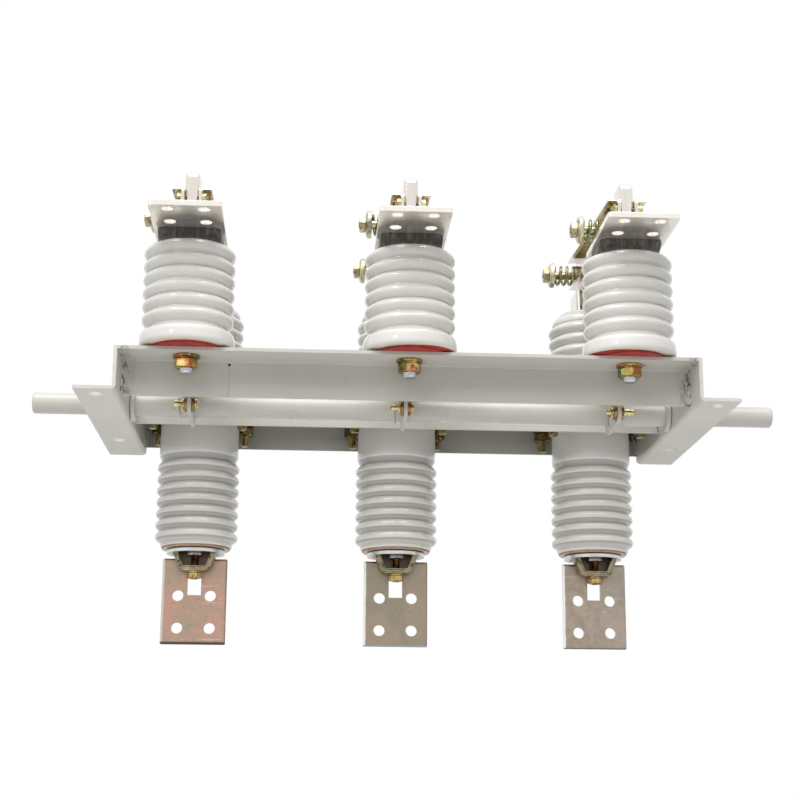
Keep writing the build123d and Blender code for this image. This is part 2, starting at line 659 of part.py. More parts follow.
def pivot_pin(x):
    """Riveted pin that carries the pull rod's upper eye."""
    y, z = BLADE_PIN
    pin = bar_x(PIN_D / 2, x - WEB_OUT, x + WEB_OUT, y, z)
    pin += bar_x(PIN_D / 2 + 1, x + WEB_OUT, x + WEB_OUT + 2, y, z)
    return pin + bar_x(PIN_D / 2 + 1, x - WEB_OUT - 2, x - WEB_OUT, y, z)


def tip_nut(x, side):
    """Nut and stud end on the outside of a web near the blade's tip."""
    y, z = on_blade(TIP_NUT_REACH, TIP_NUT_UP)
    ends = sorted((side * WEB_IN, side * (WEB_OUT + 8.5)))
    nut = sorted((side * WEB_OUT, side * (WEB_OUT + 6.5)))
    stud = bar_x(TIP_NUT_D / 2, x + ends[0], x + ends[1], y, z)
    return stud + hex_x(TIP_NUT_AF, x + nut[0], x + nut[1], y, z)


def blade_bolts(x):
    clamp = spring_bolt(x, *on_blade(CLAMP_REACH, 0))
    hinge = spring_bolt(x, HINGE_Y, HINGE_Z)
    return [clamp, hinge, pivot_pin(x), tip_nut(x, -1), tip_nut(x, 1)]


def spring(x, y, z):
    """Open coil spring from the washer on the left web to the cup."""
    rise = SPRING_LEN - SEAT_WASHER_T - SPRING_WIRE
    coil = Helix(rise / SPRING_TURNS, rise, SPRING_R)
    start = Plane(origin=coil @ 0, z_dir=coil % 0)
    wire = sweep(start * Circle(SPRING_WIRE / 2), path=coil)
    x0 = x - WEB_OUT - SEAT_WASHER_T - SPRING_WIRE / 2
    return Pos(x0, y, z) * Rot(0, -90, 0) * wire


def springs(x):
    return [spring(x, *on_blade(CLAMP_REACH, 0)), spring(x, HINGE_Y, HINGE_Z)]


# ------------------------------------------------------------------ write the nodes
def main():
    xs = POLES.values()
    save("left_end_angle", [end_angle(-1)])
    save("right_end_angle", [end_angle(1)])
    save("front_beam", [front_beam()])
    save("middle_beam", [bay_beam(MID_WEB_Y, MID_WEB_Y + ANGLE_LEG, BUSH_Y - FLANGE_BOLT_Y)])
    save("rear_beam", [bay_beam(FRAME_DEPTH, FRAME_DEPTH - ANGLE_LEG, BUSH_Y + FLANGE_BOLT_Y)])
    save("shaft_bearings", [bearing(-1), bearing(1)])
    save("post_stud_nuts", [post_fixing(x) for x in xs])
    save("post_gaskets", [disc for pole, x in POLES.items()
                          for disc in post_gasket(x, GASKET_SHIFT[pole])])
    save("post_caps", [post_cap(x) for x in xs])
    save("bushing_flange_bolts", [flange_bolt(x + dx, BUSH_Y + dy) for x in xs
                                  for dx in (-FLANGE_BOLT_X, FLANGE_BOLT_X)
                                  for dy in (-FLANGE_BOLT_Y, FLANGE_BOLT_Y)])
    save("end_gaskets", [end_gasket(x) for x in xs])
    save("end_discs", [end_disc(x) for x in xs])
    save("straps", [strap(x) for x in xs])
    save("strap_bolts", [strap_bolt(x) for x in xs])
    save("main_shaft", [main_shaft()])
    save("crank_arms", [crank_arm(x) for x in xs])
    save("crank_pins", [crank_pin(x, -1 if x > 0 else 1) for x in xs])
    for pole, x in POLES.items():
        save(pole + "_post_insulator", [post_insulator(x)])
        save(pole + "_top_terminal", [top_terminal(x)])
        save(pole + "_fixed_contact", [fixed_contact(x)])
        save(pole + "_bushing", [bushing(x)])
        save(pole + "_bushing_flange", [bushing_flange(x)])
        save(pole + "_hinge_contact", [hinge_contact(x)])
        save(pole + "_bottom_terminal", [bottom_terminal(x)])
        save(pole + "_pull_rod_insulator", [rod_insulator(x)])
        save(pole + "_pull_rod_ends", rod_ends(x))
        save(pole + "_blade_pair", blade_pair(x))
        save(pole + "_blade_bolts", blade_bolts(x))
        save(pole + "_lock_bars", [lock_bar(x, -1), lock_bar(x, 1)])
        save(pole + "_springs", springs(x))


main()
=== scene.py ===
"""Finishes, turned porcelain, fasteners and stage for an indoor knife disconnector."""
import json
import math
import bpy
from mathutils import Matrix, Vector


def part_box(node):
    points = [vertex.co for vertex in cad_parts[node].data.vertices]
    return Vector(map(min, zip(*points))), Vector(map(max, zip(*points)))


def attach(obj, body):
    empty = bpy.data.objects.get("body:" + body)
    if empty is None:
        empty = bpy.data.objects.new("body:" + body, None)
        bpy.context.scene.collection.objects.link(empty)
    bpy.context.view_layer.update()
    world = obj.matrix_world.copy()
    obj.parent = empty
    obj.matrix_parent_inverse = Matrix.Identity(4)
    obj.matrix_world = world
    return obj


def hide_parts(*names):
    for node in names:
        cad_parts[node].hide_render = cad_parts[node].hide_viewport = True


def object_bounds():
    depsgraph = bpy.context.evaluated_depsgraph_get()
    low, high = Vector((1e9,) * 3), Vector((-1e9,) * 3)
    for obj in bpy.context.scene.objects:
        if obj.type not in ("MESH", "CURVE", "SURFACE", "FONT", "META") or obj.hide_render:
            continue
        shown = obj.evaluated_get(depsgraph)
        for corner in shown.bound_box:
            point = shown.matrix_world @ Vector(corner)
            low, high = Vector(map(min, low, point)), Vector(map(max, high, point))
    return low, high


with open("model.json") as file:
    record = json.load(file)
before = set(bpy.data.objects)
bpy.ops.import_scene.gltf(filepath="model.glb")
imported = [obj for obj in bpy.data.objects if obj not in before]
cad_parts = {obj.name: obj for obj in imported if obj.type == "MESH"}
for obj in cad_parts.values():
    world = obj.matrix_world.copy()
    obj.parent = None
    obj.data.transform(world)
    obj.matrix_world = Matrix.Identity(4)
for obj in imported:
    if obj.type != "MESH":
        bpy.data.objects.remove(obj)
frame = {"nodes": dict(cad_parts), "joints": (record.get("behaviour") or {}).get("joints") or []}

from types import SimpleNamespace

import bmesh
import bpy
from mathutils import Matrix, Vector

bl_info = {
    "name": "Knife Disconnector",
    "version": (1, 0, 0),
    "blender": (4, 5, 0),
    "location": "3D View > Sidebar > Disconnector",
    "description": "Porcelain, fasteners and finishes of an indoor three-pole knife disconnector",
    "category": "Object",
}

CAD_BOX = [list(corner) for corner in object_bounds()]
POLES = ("left", "middle", "right")
MM = 0.001
TURN = 2 * math.pi


# ---------------------------------------------------------------- places read from the frame
def middle(node):
    low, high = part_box(node)
    return (low + high) / 2


def level(node):
    """Lowest and highest point of a node, in millimetres above the frame's top plane."""
    low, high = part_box(node)
    return (low.z - TOP) / MM, (high.z - TOP) / MM


JOINTS = {joint["name"]: Vector(joint["pos_m"]) for joint in frame["joints"]}
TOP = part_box("front_beam")[1].z                      # top plane of the frame
POLE_X = {pole: middle(pole + "_bushing").x for pole in POLES}
MID_X = POLE_X["middle"]
POST_Y = middle("left_post_insulator").y
BUSH_Y = middle("left_bushing").y
CRANK_PIN = JOINTS["left_rod_pivot"]
SHAFT = JOINTS["shaft_turn"]
HINGE = JOINTS["left_blade_hinge"]
BLADE_PIN = HINGE + Vector((0.0, CRANK_PIN.y - SHAFT.y, CRANK_PIN.z - SHAFT.z))
LIP = 10.5 * MM                                      # blade lip past its web
WEB_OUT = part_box("left_blade_pair")[1].x - POLE_X["left"] - LIP
STEEL = 4.0 * MM                                     # thickness of every angle
SLOPE = math.radians(4.2)                            # closed blades dip to the fixed contacts
EDGE = 0.0006                                        # usual broken edge, m
CREST = 51.5                                         # rib crests of posts and bushings, mm
ROW = 1.15                                           # outline rows below the ribs, mm
COLLAR = 49.5                                        # radius of a bushing's collar, mm
LOWER_FIRST, LOWER_LAST, LOWER_RIBS = 12.8, -82.0, 7  # from the bushing's foot; from TOP
FLANGE_BOLTS = (0.055, 0.050)                        # bolts from the bushing's axis, m
CLAMP_REACH = 0.2226                                 # hinge to the clamp bolt, m
TIP_NUT = (0.2735, 0.011)                            # ahead of the hinge and above the bolts, m
DOWN = Matrix.Rotation(math.pi, 4, "X")
ALONG_X = Matrix.Rotation(math.pi / 2, 4, "Y")
AGAINST_X = Matrix.Rotation(-math.pi / 2, 4, "Y")

# stains, dust and painted shade that several finishes share
HOLE_SHADE = (0.02, 0.018, 0.016)
SOOT = (0.055, 0.05, 0.048)
DARK_SHADE = (0.07, 0.045, 0.035)
DUST = (0.13, 0.115, 0.10)


def stand(pole, y, unit=1.0, z=TOP):
    """Matrix that moves a piece to its pole; unit is MM for a shape still in millimetres."""
    return Matrix.Translation(Vector((POLE_X[pole], y, z)) / unit)


def on_blade(pole, ahead, up=0.0):
    """A point ahead of the hinge along a blade and above the line of its bolts."""
    return Vector((POLE_X[pole], HINGE.y - ahead * math.cos(SLOPE) - up * math.sin(SLOPE),
                   HINGE.z - ahead * math.sin(SLOPE) + up * math.cos(SLOPE)))


# ---------------------------------------------------------------- node boards
class Value:
    """A number socket; arithmetic on it adds Math nodes to its board."""

    def __init__(self, board, socket):
        self.board = board
        self.socket = socket

    def math(self, operation, *others, first=None):
        """A Math node on this value and the others, or on first and then this value."""
        made = self.board.add("ShaderNodeMath", {"operation": operation})
        items = (self, *others) if first is None else (first, self)
        for slot, item in zip(made.node.inputs, items):
            self.board.feed(slot, item)
        return made.value()

    def __add__(self, other):
        return self.math("ADD", other)

    def __radd__(self, other):
        return self.math("ADD", first=other)

    def __sub__(self, other):
        return self.math("SUBTRACT", other)

    def __rsub__(self, other):
        return self.math("SUBTRACT", first=other)

    def __mul__(self, other):
        return self.math("MULTIPLY", other)

    def __rmul__(self, other):
        return self.math("MULTIPLY", first=other)

    def __truediv__(self, other):
        return self.math("DIVIDE", other)

    def __rtruediv__(self, other):
        return self.math("DIVIDE", first=other)

    def __pow__(self, other):
        return self.math("POWER", other)

    def __rpow__(self, other):
        return self.math("POWER", first=other)

    def above(self, other):
        return self.math("GREATER_THAN", other)

    def below(self, other):
        return self.math("LESS_THAN", other)

    def least(self, other):
        return self.math("MINIMUM", other)

    def most(self, other):
        return self.math("MAXIMUM", other)

    def ramp(self, low, high):
        """0 at low, 1 at high, straight between and held outside."""
        node = self.board.add("ShaderNodeMapRange", {"clamp": True}, Value=self)
        node.put("From Min", low)
        node.put("From Max", high)
        return node.value("Result")


class Made:
    """One node just added, with short ways to its sockets."""

    def __init__(self, board, node):
        self.board = board
        self.node = node

    def put(self, name, item):
        self.board.feed(self.board.find(self.node.inputs, name), item)
        return self

    def out(self, name=0):
        if isinstance(name, int):
            return self.node.outputs[name]
        return self.board.find(self.node.outputs, name)

    def value(self, name=0):
        return Value(self.board, self.out(name))


class Board:
    """A node tree and the one method that adds nodes to it."""

    def __init__(self, tree):
        self.tree = tree

    @staticmethod
    def find(sockets, name):
        for socket in sockets:
            if socket.identifier == name:
                return socket
        for socket in sockets:
            if socket.name == name and socket.enabled:
                return socket
        raise RuntimeError("no socket " + name)

    def feed(self, socket, item):
        if isinstance(item, Value):
            self.tree.links.new(item.socket, socket)
        elif isinstance(item, bpy.types.NodeSocket):
            self.tree.links.new(item, socket)
        elif isinstance(item, Made):
            self.tree.links.new(item.out(), socket)
        else:
            socket.default_value = item

    def add(self, kind, settings=None, **inputs):
        node = self.tree.nodes.new(kind)
        for key, setting in (settings or {}).items():
            setattr(node, key, setting)
        made = Made(self, node)
        for key, item in inputs.items():
            made.put(key.replace("_", " "), item)
        return made

    def split(self, vector):
        node = self.add("ShaderNodeSeparateXYZ", Vector=vector)
        return node.value("X"), node.value("Y"), node.value("Z")

    def join(self, x, y, z):
        return self.add("ShaderNodeCombineXYZ", X=x, Y=y, Z=z).out()


# ---------------------------------------------------------------- finishes
class Finish(Board):
    """A material's board, with the patterns that the finishes share."""

    def __init__(self, name):
        self.base = None
        self.material = bpy.data.materials.new(name)
        self.material.use_nodes = True
        tree = self.material.node_tree
        tree.nodes.clear()
        super().__init__(tree)
        self.shader = self.add("ShaderNodeBsdfPrincipled")
        self.output = self.add("ShaderNodeOutputMaterial")
        self.output.put("Surface", self.shader.out("BSDF"))
        self.place = self.add("ShaderNodeTexCoord").out("Object")

    def stretched(self, x, y, z):
        return self.add("ShaderNodeMapping", Vector=self.place, Scale=(x, y, z)).out()

    def noise(self, scale, detail=3.0, roughness=0.55, vector=None, distortion=0.0):
        node = self.add("ShaderNodeTexNoise", Vector=vector or self.place, Scale=scale,
                        Detail=detail, Roughness=roughness, Distortion=distortion)
        return node.value("Fac")

    def specks(self, scale, size):
        """1 inside small round specks, 0 between them."""
        node = self.add("ShaderNodeTexVoronoi", Vector=self.place, Scale=scale)
        return node.value("Distance").ramp(size, size * 0.6)

    def mixed(self, factor, one, two):
        node = self.add("ShaderNodeMix", {"data_type": "RGBA"})
        node.put("Factor_Float", factor)
        for key, colour in (("A_Color", one), ("B_Color", two)):
            node.put(key, (*colour, 1.0) if isinstance(colour, tuple) else colour)
        return node.out("Result_Color")

    def bump(self, height, strength, distance):
        node = self.add("ShaderNodeBump", Height=height, Strength=strength, Distance=distance)
        self.shader.put("Normal", node.out("Normal"))

    def lay(self, share, colour):
        """Lay a colour over the base, by a share of 0 to 1."""
        self.base = self.mixed(share, self.base, colour)

    def finished(self, **sockets):
        """Set the base colour and the other sockets, and give the material."""
        for key, item in {"Base Color": self.base, **sockets}.items():
            self.shader.put(key.replace("_", " "), item)
        return self.material


def tint(colour, factor):
    return tuple(min(1.0, part * factor) for part in colour)


def paint_finish(name, colour, burnt=None, seam=None, shade_dot=None, rough=0.36):
    """Brushed-on air-drying paint: soft orange peel, faint runs and handling marks.

    burnt is the share of weld soot; seam is (x, y, z) of a small drilled hole, its dark spot
    painted shade, with a scribed line under it; the argument after it is (x, y) of another hole,
    seen on the flange as a dark spot of painted shade.
    """
    f = Finish(name)
    cloud = f.noise(9.0, 4.0)
    streak = f.noise(1.0, 3.0, vector=f.stretched(14, 60, 240))
    grime = f.noise(38.0, 6.0, 0.7).ramp(0.58, 0.78)
    chips = f.specks(120.0, 0.10) * f.noise(22.0).ramp(0.62, 0.70)
    f.base = f.mixed(cloud.ramp(0.3, 0.7), tint(colour, 0.94), tint(colour, 1.05))
    f.lay(streak.ramp(0.35, 0.75) * 0.20, tint(colour, 1.14))
    f.lay(grime * 0.22, (colour[0] * 0.66, colour[1] * 0.62, colour[2] * 0.52))
    f.lay(chips * 0.8, (0.16, 0.14, 0.12))
    x, y, z = f.split(f.place)
    if burnt:
        near = (x - MID_X).math("ABSOLUTE").ramp(0.308, 0.322)
        soot = near * f.noise(230.0, 4.0, 0.75, f.stretched(1.0, 1.0, 0.5)).ramp(0.50, 0.57)
        f.lay(soot * burnt, SOOT)
    if seam:
        face = y.below(seam[1] + 0.0008)
        across = (x - seam[0]).math("ABSOLUTE")
        line = across.ramp(0.0009, 0.0002) * z.below(seam[2]) * f.noise(300.0).ramp(0.35, 0.6)
        f.lay(line * face * 0.45, (0.20, 0.19, 0.17))
        # painted shade: a dark spot for the small hole above the scribed line
        reach = (across * across + (z - seam[2]) * (z - seam[2])) ** 0.5
        f.lay(reach.ramp(0.0019, 0.0013) * face, HOLE_SHADE)
    # painted shade: a dark spot for another small hole, on the flange
    if shade_dot:
        reach = ((x - shade_dot[0]) * (x - shade_dot[0]) + (y - shade_dot[1]) * (y - shade_dot[1])) ** 0.5
        f.lay(reach.ramp(0.0023, 0.0016), HOLE_SHADE)
    peel = f.noise(520.0, 2.0) * 0.5 + f.noise(90.0, 2.0) * 0.5 + streak * 0.6
    f.bump(peel, 0.22, 0.0006)
    return f.finished(Roughness=rough + cloud * 0.14 + grime * 0.2, Specular_IOR_Level=0.45)


def glaze_finish(name, colour, white, low=None, high=None, ribs=None):
    """Grey glaze with a white foot between heights, and painted light and shade on the ribs.

    ribs is (crest height, pitch, top, lip): painted shade under each of those ribs and on the
    chamfer of the collar above them, and painted highlight over their crests and along the lip of
    the collar.
    """
    f = Finish(name)
    cloud = f.noise(16.0, 4.0)
    pool = f.noise(5.0, 2.0)
    pits = f.specks(260.0, 0.12) * f.noise(40.0).ramp(0.6, 0.66)
    f.base = f.mixed(cloud.ramp(0.3, 0.7), tint(colour, 0.96), tint(colour, 1.04))
    f.lay(pool.ramp(0.45, 0.75) * 0.25, (colour[0] * 1.02, colour[1], colour[2] * 0.92))
    if ribs:
        height = f.split(f.place)[2]
        phase = ((height - ribs[0]) / ribs[1] + cloud * 0.06).math("FRACT")
        # painted shade on the lower side of each rib and, more faintly, in its valley
        under = phase.ramp(0.89, 0.83) * phase.ramp(0.50, 0.80)
        under = under + phase.ramp(0.36, 0.46) * phase.ramp(0.58, 0.50) * 0.4
        f.lay(under.least(1.0) * height.below(ribs[2]) * 0.92,
              (colour[0] * 0.56, colour[1] * 0.54, colour[2] * 0.52))
        # painted shade on the chamfer under the collar
        painted_chamfer_shade = height.above(ribs[2]) * height.ramp(ribs[3] - 0.0006, ribs[3] - 0.0014)
        f.lay(painted_chamfer_shade * 0.75, tint(colour, 0.55))
        # painted highlight along the lip of the collar
        painted_lip_highlight = (height - ribs[3]).math("ABSOLUTE").ramp(0.0014, 0.0006)
        f.lay(painted_lip_highlight * 0.5, tint(colour, 1.3))
        # painted highlight over the crest of each rib
        crest = (phase.ramp(0.36, 0.24) + phase.ramp(0.83, 0.89)).least(1.0)
        f.lay(crest * height.below(ribs[2]) * 0.7, tint(colour, 1.22))
    if low is not None:
        height = f.split(f.place)[2]
        foot = height.ramp(high + 0.0006, high - 0.0006) * height.above(low - 0.01)
        f.lay(foot, f.mixed(cloud, white, tint(white, 0.97)))
        f.lay(height.ramp(low + 0.0011, low + 0.0005), (0.78, 0.73, 0.62))
    f.lay(pits * 0.7, (0.20, 0.18, 0.15))
    f.bump(f.noise(60.0, 2.0) * 0.7 + pits * -0.5, 0.10, 0.0008)
    return f.finished(Roughness=0.16 + cloud * 0.10, Coat_Weight=0.5, Coat_Roughness=0.06,
                      Specular_IOR_Level=0.55)


def chromate_finish(name, colour, warm, green, patch=110.0, dull=0.0, bare=None, share=0.8):
    """Yellow chromate over zinc: gold with drifting pink and green interference tints.

    Everything lower than bare is left as plain zinc.
    """
    f = Finish(name)
    drift = f.noise(patch, 2.0, distortion=0.8)
    stain = f.noise(patch * 0.7, 2.0, distortion=0.6)
    f.base = f.mixed(drift.ramp(1.30 - share, 1.42 - share) * share, colour, warm)
    f.lay(stain.ramp(1.30 - share, 1.40 - share) * share, green)
    f.lay(f.noise(patch * 1.6, 2.0).ramp(0.54, 0.64) * 0.75,
          (warm[0] * 0.14, warm[1] * 0.20, warm[2] * 0.24))
    f.lay(f.noise(patch * 1.3, 2.0, vector=f.stretched(1, 1, 0.5)).ramp(0.60, 0.68) * 0.7,
          tint(colour, 1.7))
    if bare is not None:
        zinc = f.mixed(f.noise(260.0, 3.0), (0.80, 0.81, 0.85), (0.46, 0.48, 0.52))
        f.lay(f.split(f.place)[2].below(bare), zinc)
    f.bump(f.noise(900.0, 2.0), 0.12, 0.0002)
    return f.finished(Metallic=1.0, Roughness=0.20 + dull + drift * 0.2)


def rainbow_finish(name, colour, pink, green, gold, warmth, centre, edges, rim):
    """Passivated plate: broad pink, green and gold clouds, a few scratches, painted highlight and
    shade on its edges and painted shade round the strap's root.

    centre is the plate's own x; edges are the colours of the painted highlight on its left edge and
    of the painted shade on its right and bottom edges, the last of which is rim high.
    """
    f = Finish(name)
    wide = f.noise(34.0, 4.0, 0.6, distortion=1.0)
    small = f.noise(95.0, 4.0, 0.65, distortion=0.6)
    turn = f.noise(24.0, 3.0, 0.5, f.stretched(1.0, 1.0, 0.7))
    f.base = f.mixed(wide.ramp(0.44, 0.58) * warmth, colour, pink)
    f.lay(turn.ramp(0.50, 0.62) * 0.75, green)
    f.lay(small.ramp(0.50, 0.66) * 0.6, gold)
    f.lay(f.noise(300.0, 4.0, 0.75).ramp(0.54, 0.72) * 0.45, tint(colour, 0.5))
    cut = f.noise(1.0, 0.0, vector=f.stretched(12, 12, 420)).ramp(0.715, 0.728)
    cut = cut * f.noise(21.0).ramp(0.55, 0.62)
    f.lay(cut * 0.3, (0.90, 0.84, 0.74))
    x, y, z = f.split(f.place)
    low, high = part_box("left_bottom_terminal")
    half, foot = (high.x - low.x) / 2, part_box("straps")[0].z
    # painted shade on the plate round the root of the strap, inside its arms
    painted_root_shade = (x - centre).math("ABSOLUTE").ramp(0.024, 0.017) * z.ramp(foot + 0.0027, foot + 0.0082)
    f.lay(painted_root_shade * y.below(low.y + 0.001) * 0.85, DARK_SHADE)
    uneven = (f.noise(180.0, 3.0) - 0.5) * 0.0016
    left, right = centre - half, centre + half
    # painted highlight on the left edge, painted shade on the right and bottom edges
    f.lay((x + uneven).ramp(left + 0.0034, left + 0.0024), edges[0])
    f.lay((x + uneven).ramp(right - 0.0014, right - 0.0008) * 0.85, edges[1])
    f.lay((z + uneven).ramp(low.z + rim, low.z + rim * 0.6) * 0.9, edges[2])
    f.bump(f.noise(330.0, 3.0) * 0.6 - cut, 0.12, 0.0003)
    return f.finished(Metallic=1.0, Roughness=0.30 + small * 0.16 + wide * 0.06)


def disc_finish(name, colour):
    """Zinc disc with a clean rim and painted shade over its middle, round the conductor inside the
    strap.
    """
    f = Finish(name)
    cloud = f.noise(60.0, 4.0)
    f.base = f.mixed(cloud.ramp(0.35, 0.7), colour, tint(colour, 0.82))
    x, y, _ = f.split(f.place)
    stain = None
    # painted shade over the middle of each disc, inside its strap
    for pole in POLES:
        dx, dy = x - POLE_X[pole], y - BUSH_Y
        reach = (dx * dx + dy * dy) ** 0.5 + (cloud - 0.5) * 0.006
        spot = reach.ramp(0.031, 0.028)
        stain = spot if stain is None else stain + spot
    f.lay(stain * 0.92, DARK_SHADE)
    f.bump(f.noise(420.0, 3.0), 0.10, 0.0002)
    return f.finished(Metallic=1.0, Roughness=0.26 + cloud * 0.12)


def plate_finish(name, colour, stain, grain, haze=0.5, metal=1.0, rough=0.11):
    """Plated copper bar: fine drawn grain and cloudy tarnish; less metal looks more satin."""
    f = Finish(name)
    drawn = f.noise(1.0, 3.0, vector=f.stretched(*grain))
    cloud = f.noise(34.0, 5.0, 0.65)
    edge = f.noise(9.0, 3.0)
    f.base = f.mixed(cloud.ramp(0.40, 0.70) * haze, colour, stain)
    f.lay(edge.ramp(0.5, 0.7) * haze * 0.6, tint(stain, 1.12))
    f.lay(drawn.ramp(0.45, 0.75) * 0.25, tint(colour, 1.22))
    f.bump(drawn * 0.6 + f.noise(300.0, 2.0) * 0.4, 0.10, 0.0003)
    return f.finished(Metallic=metal, Roughness=rough + cloud * 0.12 + drawn * 0.05)


def sheet_finish(name, colour, dark, rough):
    """Pressed rubber or fibre sheet: matt, mottled, with a faint fibre grain."""
    f = Finish(name)
    cloud = f.noise(80.0, 4.0)
    f.base = f.mixed(cloud.ramp(0.35, 0.7), colour, dark)
    f.bump(f.noise(700.0, 3.0), 0.35, 0.0004)
    return f.finished(Roughness=rough + cloud * 0.1, Specular_IOR_Level=0.3)


def casting_finish(name, colour, runs=0.0):
    """Black enamel over a sand casting: grainy skin, dusty high spots, brown runs of cement."""
    f = Finish(name)
    skin = f.noise(420.0, 4.0, 0.65)
    film = f.noise(30.0, 4.0).ramp(0.48, 0.72)
    f.base = f.mixed(film * 0.45, colour, DUST)
    if runs:
        run = f.noise(1.0, 4.0, 0.65, f.stretched(190, 190, 16)).ramp(0.50, 0.66)
        f.lay(run * runs, (0.20, 0.155, 0.13))
    f.bump(skin + f.noise(70.0, 2.0) * 0.6, 0.45, 0.0007)
    return f.finished(Roughness=0.42 + film * 0.2, Coat_Weight=0.25, Coat_Roughness=0.2)


def bare_finish(name, colour):
    """Turned or galvanised steel, dull with fine rings and handling stains."""
    f = Finish(name)
    cloud = f.noise(120.0, 4.0)
    f.base = f.mixed(cloud.ramp(0.4, 0.7), colour, tint(colour, 0.72))
    f.bump(f.noise(800.0, 2.0), 0.15, 0.0002)
    return f.finished(Metallic=1.0, Roughness=0.30 + cloud * 0.15)


# ---------------------------------------------------------------- solid shapes in code
def polar(radius, angle, z):
    return radius * math.cos(angle), radius * math.sin(angle), z


class Shape:
    """Vertices and faces of one piece, in millimetres until it is made."""

    def __init__(self):
        self.points = []
        self.faces = []

    def add(self, points, faces, place=None):
        start = len(self.points)
        place = place or Matrix.Identity(4)
        self.points += [place @ Vector(point) for point in points]
        self.faces += [tuple(start + i for i in face) for face in faces]
        return self

    def rings(self, rows, place=None, loop=False):
        """Skin between equal rings of points; the first and last are capped unless looped."""
        count = len(rows[0])
        points = [point for row in rows for point in row]
        faces = []
        for r in range(len(rows) if loop else len(rows) - 1):
            a, b = r * count, (r + 1) % len(rows) * count
            for i in range(count):
                j = (i + 1) % count
                faces.append((a + i, a + j, b + j, b + i))
        if not loop:
            faces.append(tuple(reversed(range(count))))
            faces.append(tuple((len(rows) - 1) * count + i for i in range(count)))
        return self.add(points, faces, place)

    def turned(self, outline, place=None, columns=48, loop=False):
        """Revolve (radius, height) points about Z."""
        rows = [[polar(max(radius, 0.001), TURN * i / columns, height) for i in range(columns)]
                for radius, height in outline]
        return self.rings(rows, place, loop)

    def washer(self, inner, outer, low, high, cut=0.0, drop=0.0, place=None, columns=48):
        """Flat ring with both outer corners chamfered by cut across and drop along."""
        corners = [(outer - cut, low), (outer, low + drop), (outer, high - drop),
                   (outer - cut, high)] if cut else [(outer, low), (outer, high)]
        return self.turned([(inner, low), *corners, (inner, high)], place, columns, loop=True)

    def nut(self, across, low, high, place=None, both=True):
        """Hexagon whose corners are chamfered by a cone at the top, or at both ends."""
        half, columns, side = across / 2, 48, TURN / 6
        flat = half * 0.96
        slope = math.tan(math.radians(28))
        rows = [[], [], [], []]
        for i in range(columns):
            angle = TURN * i / columns
            reach = half / math.cos((angle + side / 2) % side - side / 2)
            drop = (reach - flat) * slope
            first = [(flat, low), (reach, low + drop)] if both else [(reach, low), (reach, low)]
            for row, (radius, z) in zip(rows, first + [(reach, high - drop), (flat, high)]):
                row.append(polar(radius, angle, z))
        return self.rings(rows, place)

    def thread(self, radius, pitch, low, high, place=None):
        """Round bar with a rolled helical thread, and a chamfered end at the top."""
        depth, columns, per_turn = pitch * 0.5, 20, 4
        count = int((high - low) / pitch * per_turn) + 1
        rows = []
        for k in range(count + 1):
            z = low + (high - low) * k / count
            end = max(0.0, (z - high + depth * 1.4)) * 0.8
            row = []
            for i in range(columns):
                phase = ((z - low) / pitch - i / columns) % 1.0
                cut = depth * abs(phase * 2 - 1)
                row.append(polar(radius - cut - end, TURN * (i / columns), z))
            rows.append(row)
        return self.rings(rows, place)

    def wire(self, path, radius, place=None):
        """Round wire along a list of points."""
        spots = [Vector(point) for point in path]
        columns, side, rows = 8, None, []
        for i, spot in enumerate(spots):
            ahead = (spots[min(i + 1, len(spots) - 1)] - spots[max(i - 1, 0)]).normalized()
            if side is None:
                side = ahead.orthogonal().normalized()
            side = (side - ahead * side.dot(ahead)).normalized()
            up = ahead.cross(side)
            rows.append([spot + radius * (math.cos(t) * side + math.sin(t) * up)
                         for t in (TURN * k / columns for k in range(columns))])
        return self.rings(rows, place)

    def mesh(self, name):
        mesh = bpy.data.meshes.new(name)
        mesh.from_pydata([point * MM for point in self.points], [], self.faces)
        work = bmesh.new()
        work.from_mesh(mesh)
        bmesh.ops.remove_doubles(work, verts=work.verts, dist=1e-7)
        bmesh.ops.recalc_face_normals(work, faces=work.faces)
        work.to_mesh(mesh)
        work.free()
        return mesh


def linked(name, mesh, material, sharp=35.0):
    """A new object for a finished mesh, smooth-shaded but for its real edges."""
    piece = bpy.data.objects.new(name, mesh)
    bpy.context.scene.collection.objects.link(piece)
    mesh.materials.clear()
    mesh.materials.append(material)
    mesh.shade_smooth()
    mesh.set_sharp_from_angle(angle=math.radians(sharp))
    return piece


def spin_to(axis):
    """Matrix that turns +Z to the given direction."""
    return Vector(axis).to_track_quat("Z", "Y").to_matrix().to_4x4()


